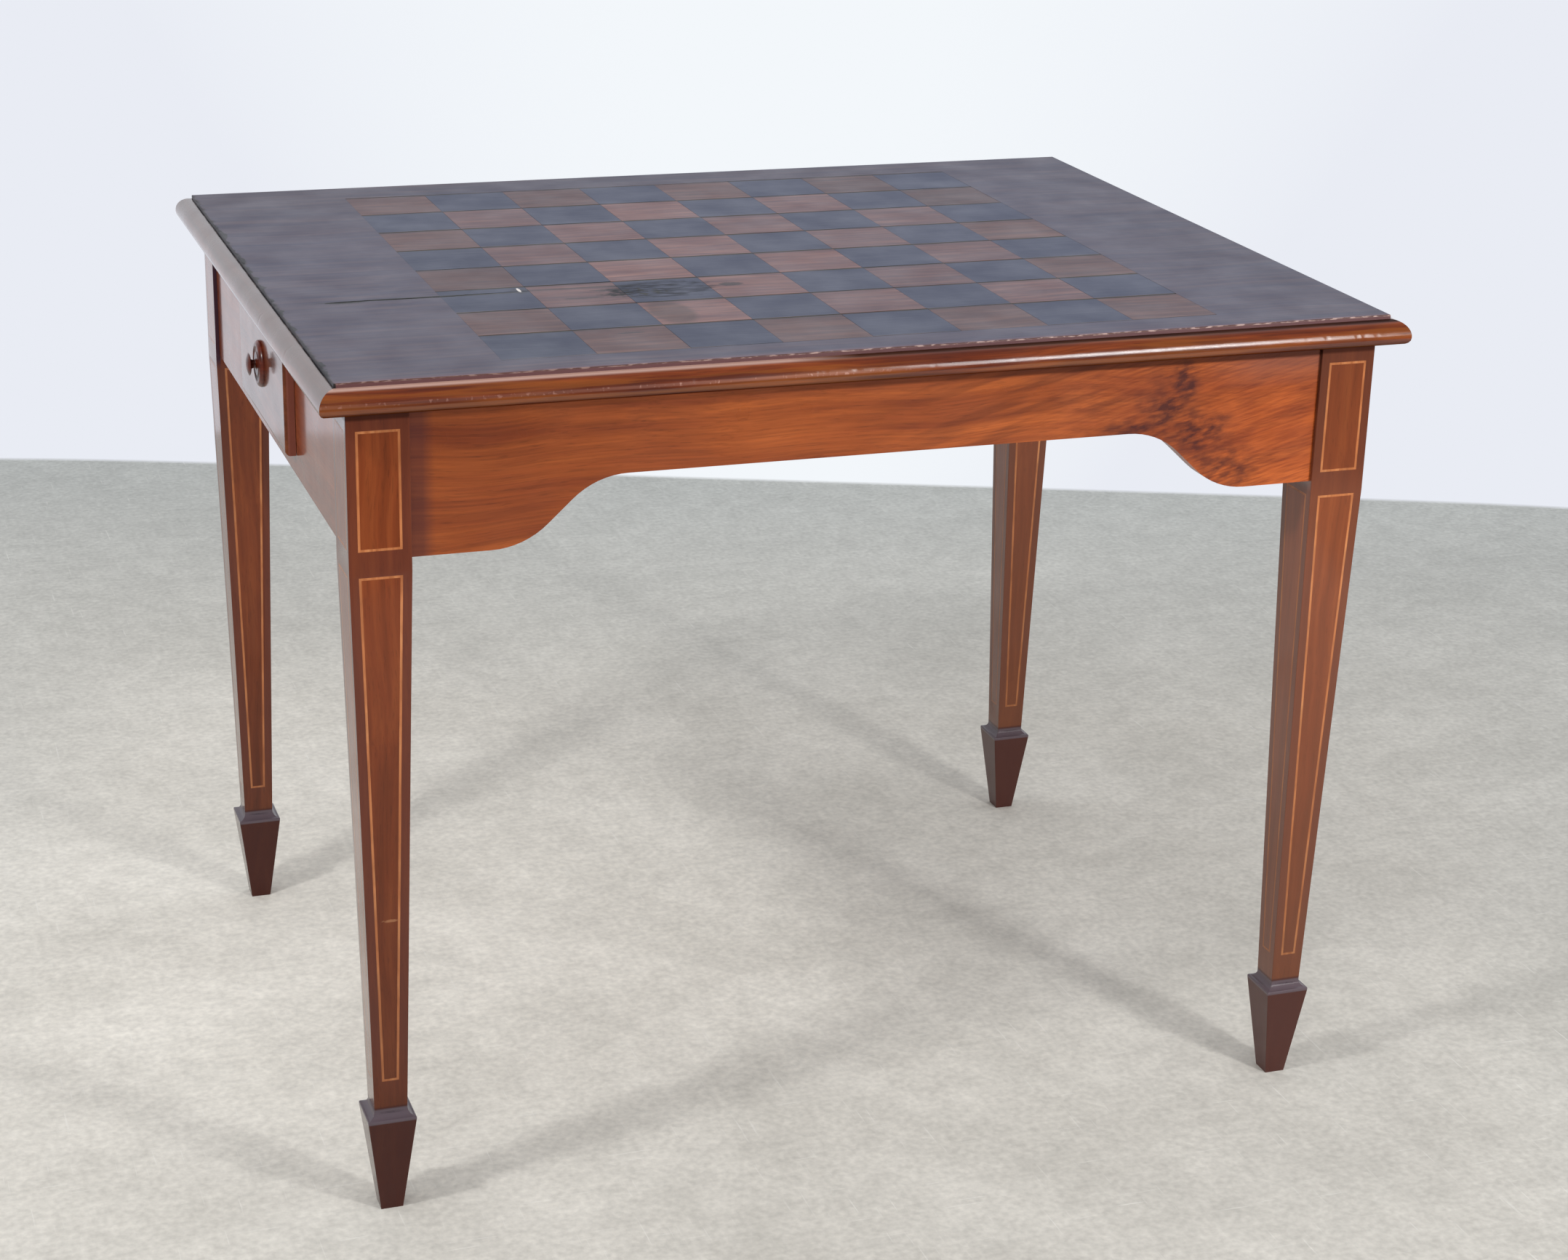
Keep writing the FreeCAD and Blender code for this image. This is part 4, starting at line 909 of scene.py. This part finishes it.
def seen_directly(tree, direction):
    """1 for rays that show the backdrop: from the camera, through glass, or in a gloss towards the back."""
    rays = add(tree, "LightPath").node.outputs
    level = add(tree, "VectorMath", [direction], operation="NORMALIZE")
    back = (-math.sin(BACKDROP_TURN), math.cos(BACKDROP_TURN), 0.0)
    towards = add(tree, "VectorMath", [level, back], operation="DOT_PRODUCT", take="Value")
    glossy = product(tree, rays["Is Glossy Ray"], add(tree, "MapRange", [towards, 0.2, 0.65, 0.1, 1.0]))
    seen = add(tree, "Math", [rays["Is Camera Ray"], glossy], operation="ADD")
    return add(tree, "Math", [seen, rays["Is Transmission Ray"]], operation="ADD", use_clamp=True)


def floor():
    """Pale painted floor, matt, scuffed and scratched, that turns into the plain backdrop further away."""
    mesh = bpy.data.meshes.new("floor")
    corners = [(-FLOOR_HALF, -FLOOR_HALF, 0), (FLOOR_HALF, -FLOOR_HALF, 0),
               (FLOOR_HALF, FLOOR_HALF, 0), (-FLOOR_HALF, FLOOR_HALF, 0)]
    mesh.from_pydata(corners, [], [(0, 1, 2, 3)])
    made = bpy.data.objects.new("floor", mesh)
    bpy.context.scene.collection.objects.link(made)
    material, tree = new_material("pale_painted_floor")
    position = add(tree, "TexCoord", take="Object")
    turned = add(tree, "VectorRotate", {"Vector": position, "Angle": -BACKDROP_TURN},
                 rotation_type="Z_AXIS")
    distance = add(tree, "VectorMath", [turned], operation="ABSOLUTE")
    sides = add(tree, "SeparateXYZ", [distance]).node.outputs[:2]
    raised = [add(tree, "Math", [side, FLOOR_CORNER], operation="POWER") for side in sides]
    reach = add(tree, "Math", [raised[0], raised[1]], operation="ADD")
    reach = add(tree, "Math", [reach, 1 / FLOOR_CORNER], operation="POWER")
    far = add(tree, "MapRange", [reach, BACKDROP_AWAY - BACKDROP_EDGE, BACKDROP_AWAY + BACKDROP_EDGE])
    cloud = add(tree, "TexNoise", {"Vector": position, "Scale": per_mm(240), "Detail": 7.0})
    near = add(tree, "ValToRGB", {"Fac": cloud}, stops=[(0.3, linear("#CBC7BE")), (0.7, linear("#DAD6CD"))])
    near = painted(tree, near, (add(tree, "MapRange", [reach, 0.7, BACKDROP_AWAY]), "#C6C8C4"))
    # Painted light: the floor made lighter around the middle of the table, a pool of light over its shade.
    away = add(tree, "VectorMath", [position, (-0.3, 0.1, 0.0)], operation="DISTANCE", take="Value")
    painted_light_pool = add(tree, "MapRange", [away, 0.25, 1.05, 1.21, 1.0])
    # Painted shade: the floor darker towards the front.
    y = add(tree, "SeparateXYZ", [position], take="Y")
    front = add(tree, "MapRange", [y, -0.6, 0.1, 0.84, 0.98])
    scuffs = 1.0
    for size, share in ((7, 0.09), (28, 0.06), (110, 0.04)):
        patches = speckle(tree, position, (size, size), (0.3, 0.7), detail=4.0)
        scuffs = product(tree, add(tree, "MapRange", [patches, 0, 1, 1 - share, 1 + share]), scuffs)
    scratches = most(tree, *(speckle(tree, position, (80, 3), (0.66, 0.74), grain) for grain in "XY"))
    shade = product(tree, painted_light_pool, front, scuffs)
    near = add(tree, "VectorMath", {0: near, "Scale": shade}, operation="SCALE")
    near = painted(tree, near, (product(tree, scratches, 0.35), "#F2F0EA"))
    matt = add(tree, "BsdfPrincipled", {"Base Color": near, "Roughness": 0.9, "Specular IOR Level": 0.1})
    level = add(tree, "VectorMath", [position], operation="NORMALIZE")
    glow = add(tree, "Emission", {"Color": wall_colour(tree, level), "Strength": 1.0})
    unlit = add(tree, "BsdfDiffuse", {"Color": linear("#6C6A66")})
    backdrop = add(tree, "MixShader", [seen_directly(tree, position), unlit, glow])
    surface = add(tree, "MixShader", [far, matt, backdrop])
    add(tree, "OutputMaterial", {"Surface": surface})
    mesh.materials.append(material)


def world():
    """Even fill light, with the pale backdrop for rays that see it directly."""
    sky = bpy.data.worlds.new("studio")
    bpy.context.scene.world = sky
    sky.use_nodes = True
    tree = sky.node_tree
    tree.nodes.clear()
    direction = add(tree, "TexCoord", take="Generated")
    gloss = add(tree, "LightPath", take="Is Glossy Ray")
    strength = add(tree, "MapRange", [gloss, 0, 1, FILL, DIM_ROOM])
    fill = add(tree, "Background", {"Color": linear("#F4F6FA"), "Strength": strength})
    level = add(tree, "VectorMath", [direction], operation="NORMALIZE")
    backdrop = add(tree, "Background", {"Color": wall_colour(tree, level), "Strength": 1.0})
    mixed = add(tree, "MixShader", [seen_directly(tree, direction), fill, backdrop])
    add(tree, "OutputWorld", {"Surface": mixed})


def softbox(name, place, target, size, watts, core_watts):
    """Soft lamp with a brighter middle."""
    for part, scale, power in (("", 1.0, watts), ("_core", CORE_SHARE, core_watts)):
        lamp = bpy.data.lights.new(name + part, "AREA")
        lamp.shape = "RECTANGLE"
        lamp.size, lamp.size_y = (side * scale for side in size)
        lamp.energy = power
        made = bpy.data.objects.new(name + part, lamp)
        bpy.context.scene.collection.objects.link(made)
        made.location = place
        made.rotation_euler = (Vector(target) - Vector(place)).to_track_quat("-Z", "Y").to_euler()


def camera():
    """In front of the table and to its left, looking down on it."""
    made = bpy.data.objects.new("camera", bpy.data.cameras.new("camera"))
    bpy.context.scene.collection.objects.link(made)
    made.data.sensor_width = SENSOR
    made.data.lens = LENS
    turn = Matrix.Rotation(CAMERA_HEADING, 4, "Z") @ Matrix.Rotation(math.pi / 2 - CAMERA_DROP, 4, "X")
    turn = turn @ Matrix.Rotation(CAMERA_ROLL, 4, "Z")
    made.matrix_world = Matrix.Translation(CAMERA_PLACE) @ turn
    bpy.context.scene.camera = made


floor()
world()
softbox("softbox_right", (1.13, -2.2, 1.2), (0, 0, 0.6), (0.7, 0.9), 10, 20)
softbox("softbox_left", (-1.8, -0.8, 2.0), (0, 0, 0.3), (0.7, 0.7), 3, 16)
camera()

bpy.context.scene.view_settings.view_transform = "Standard"
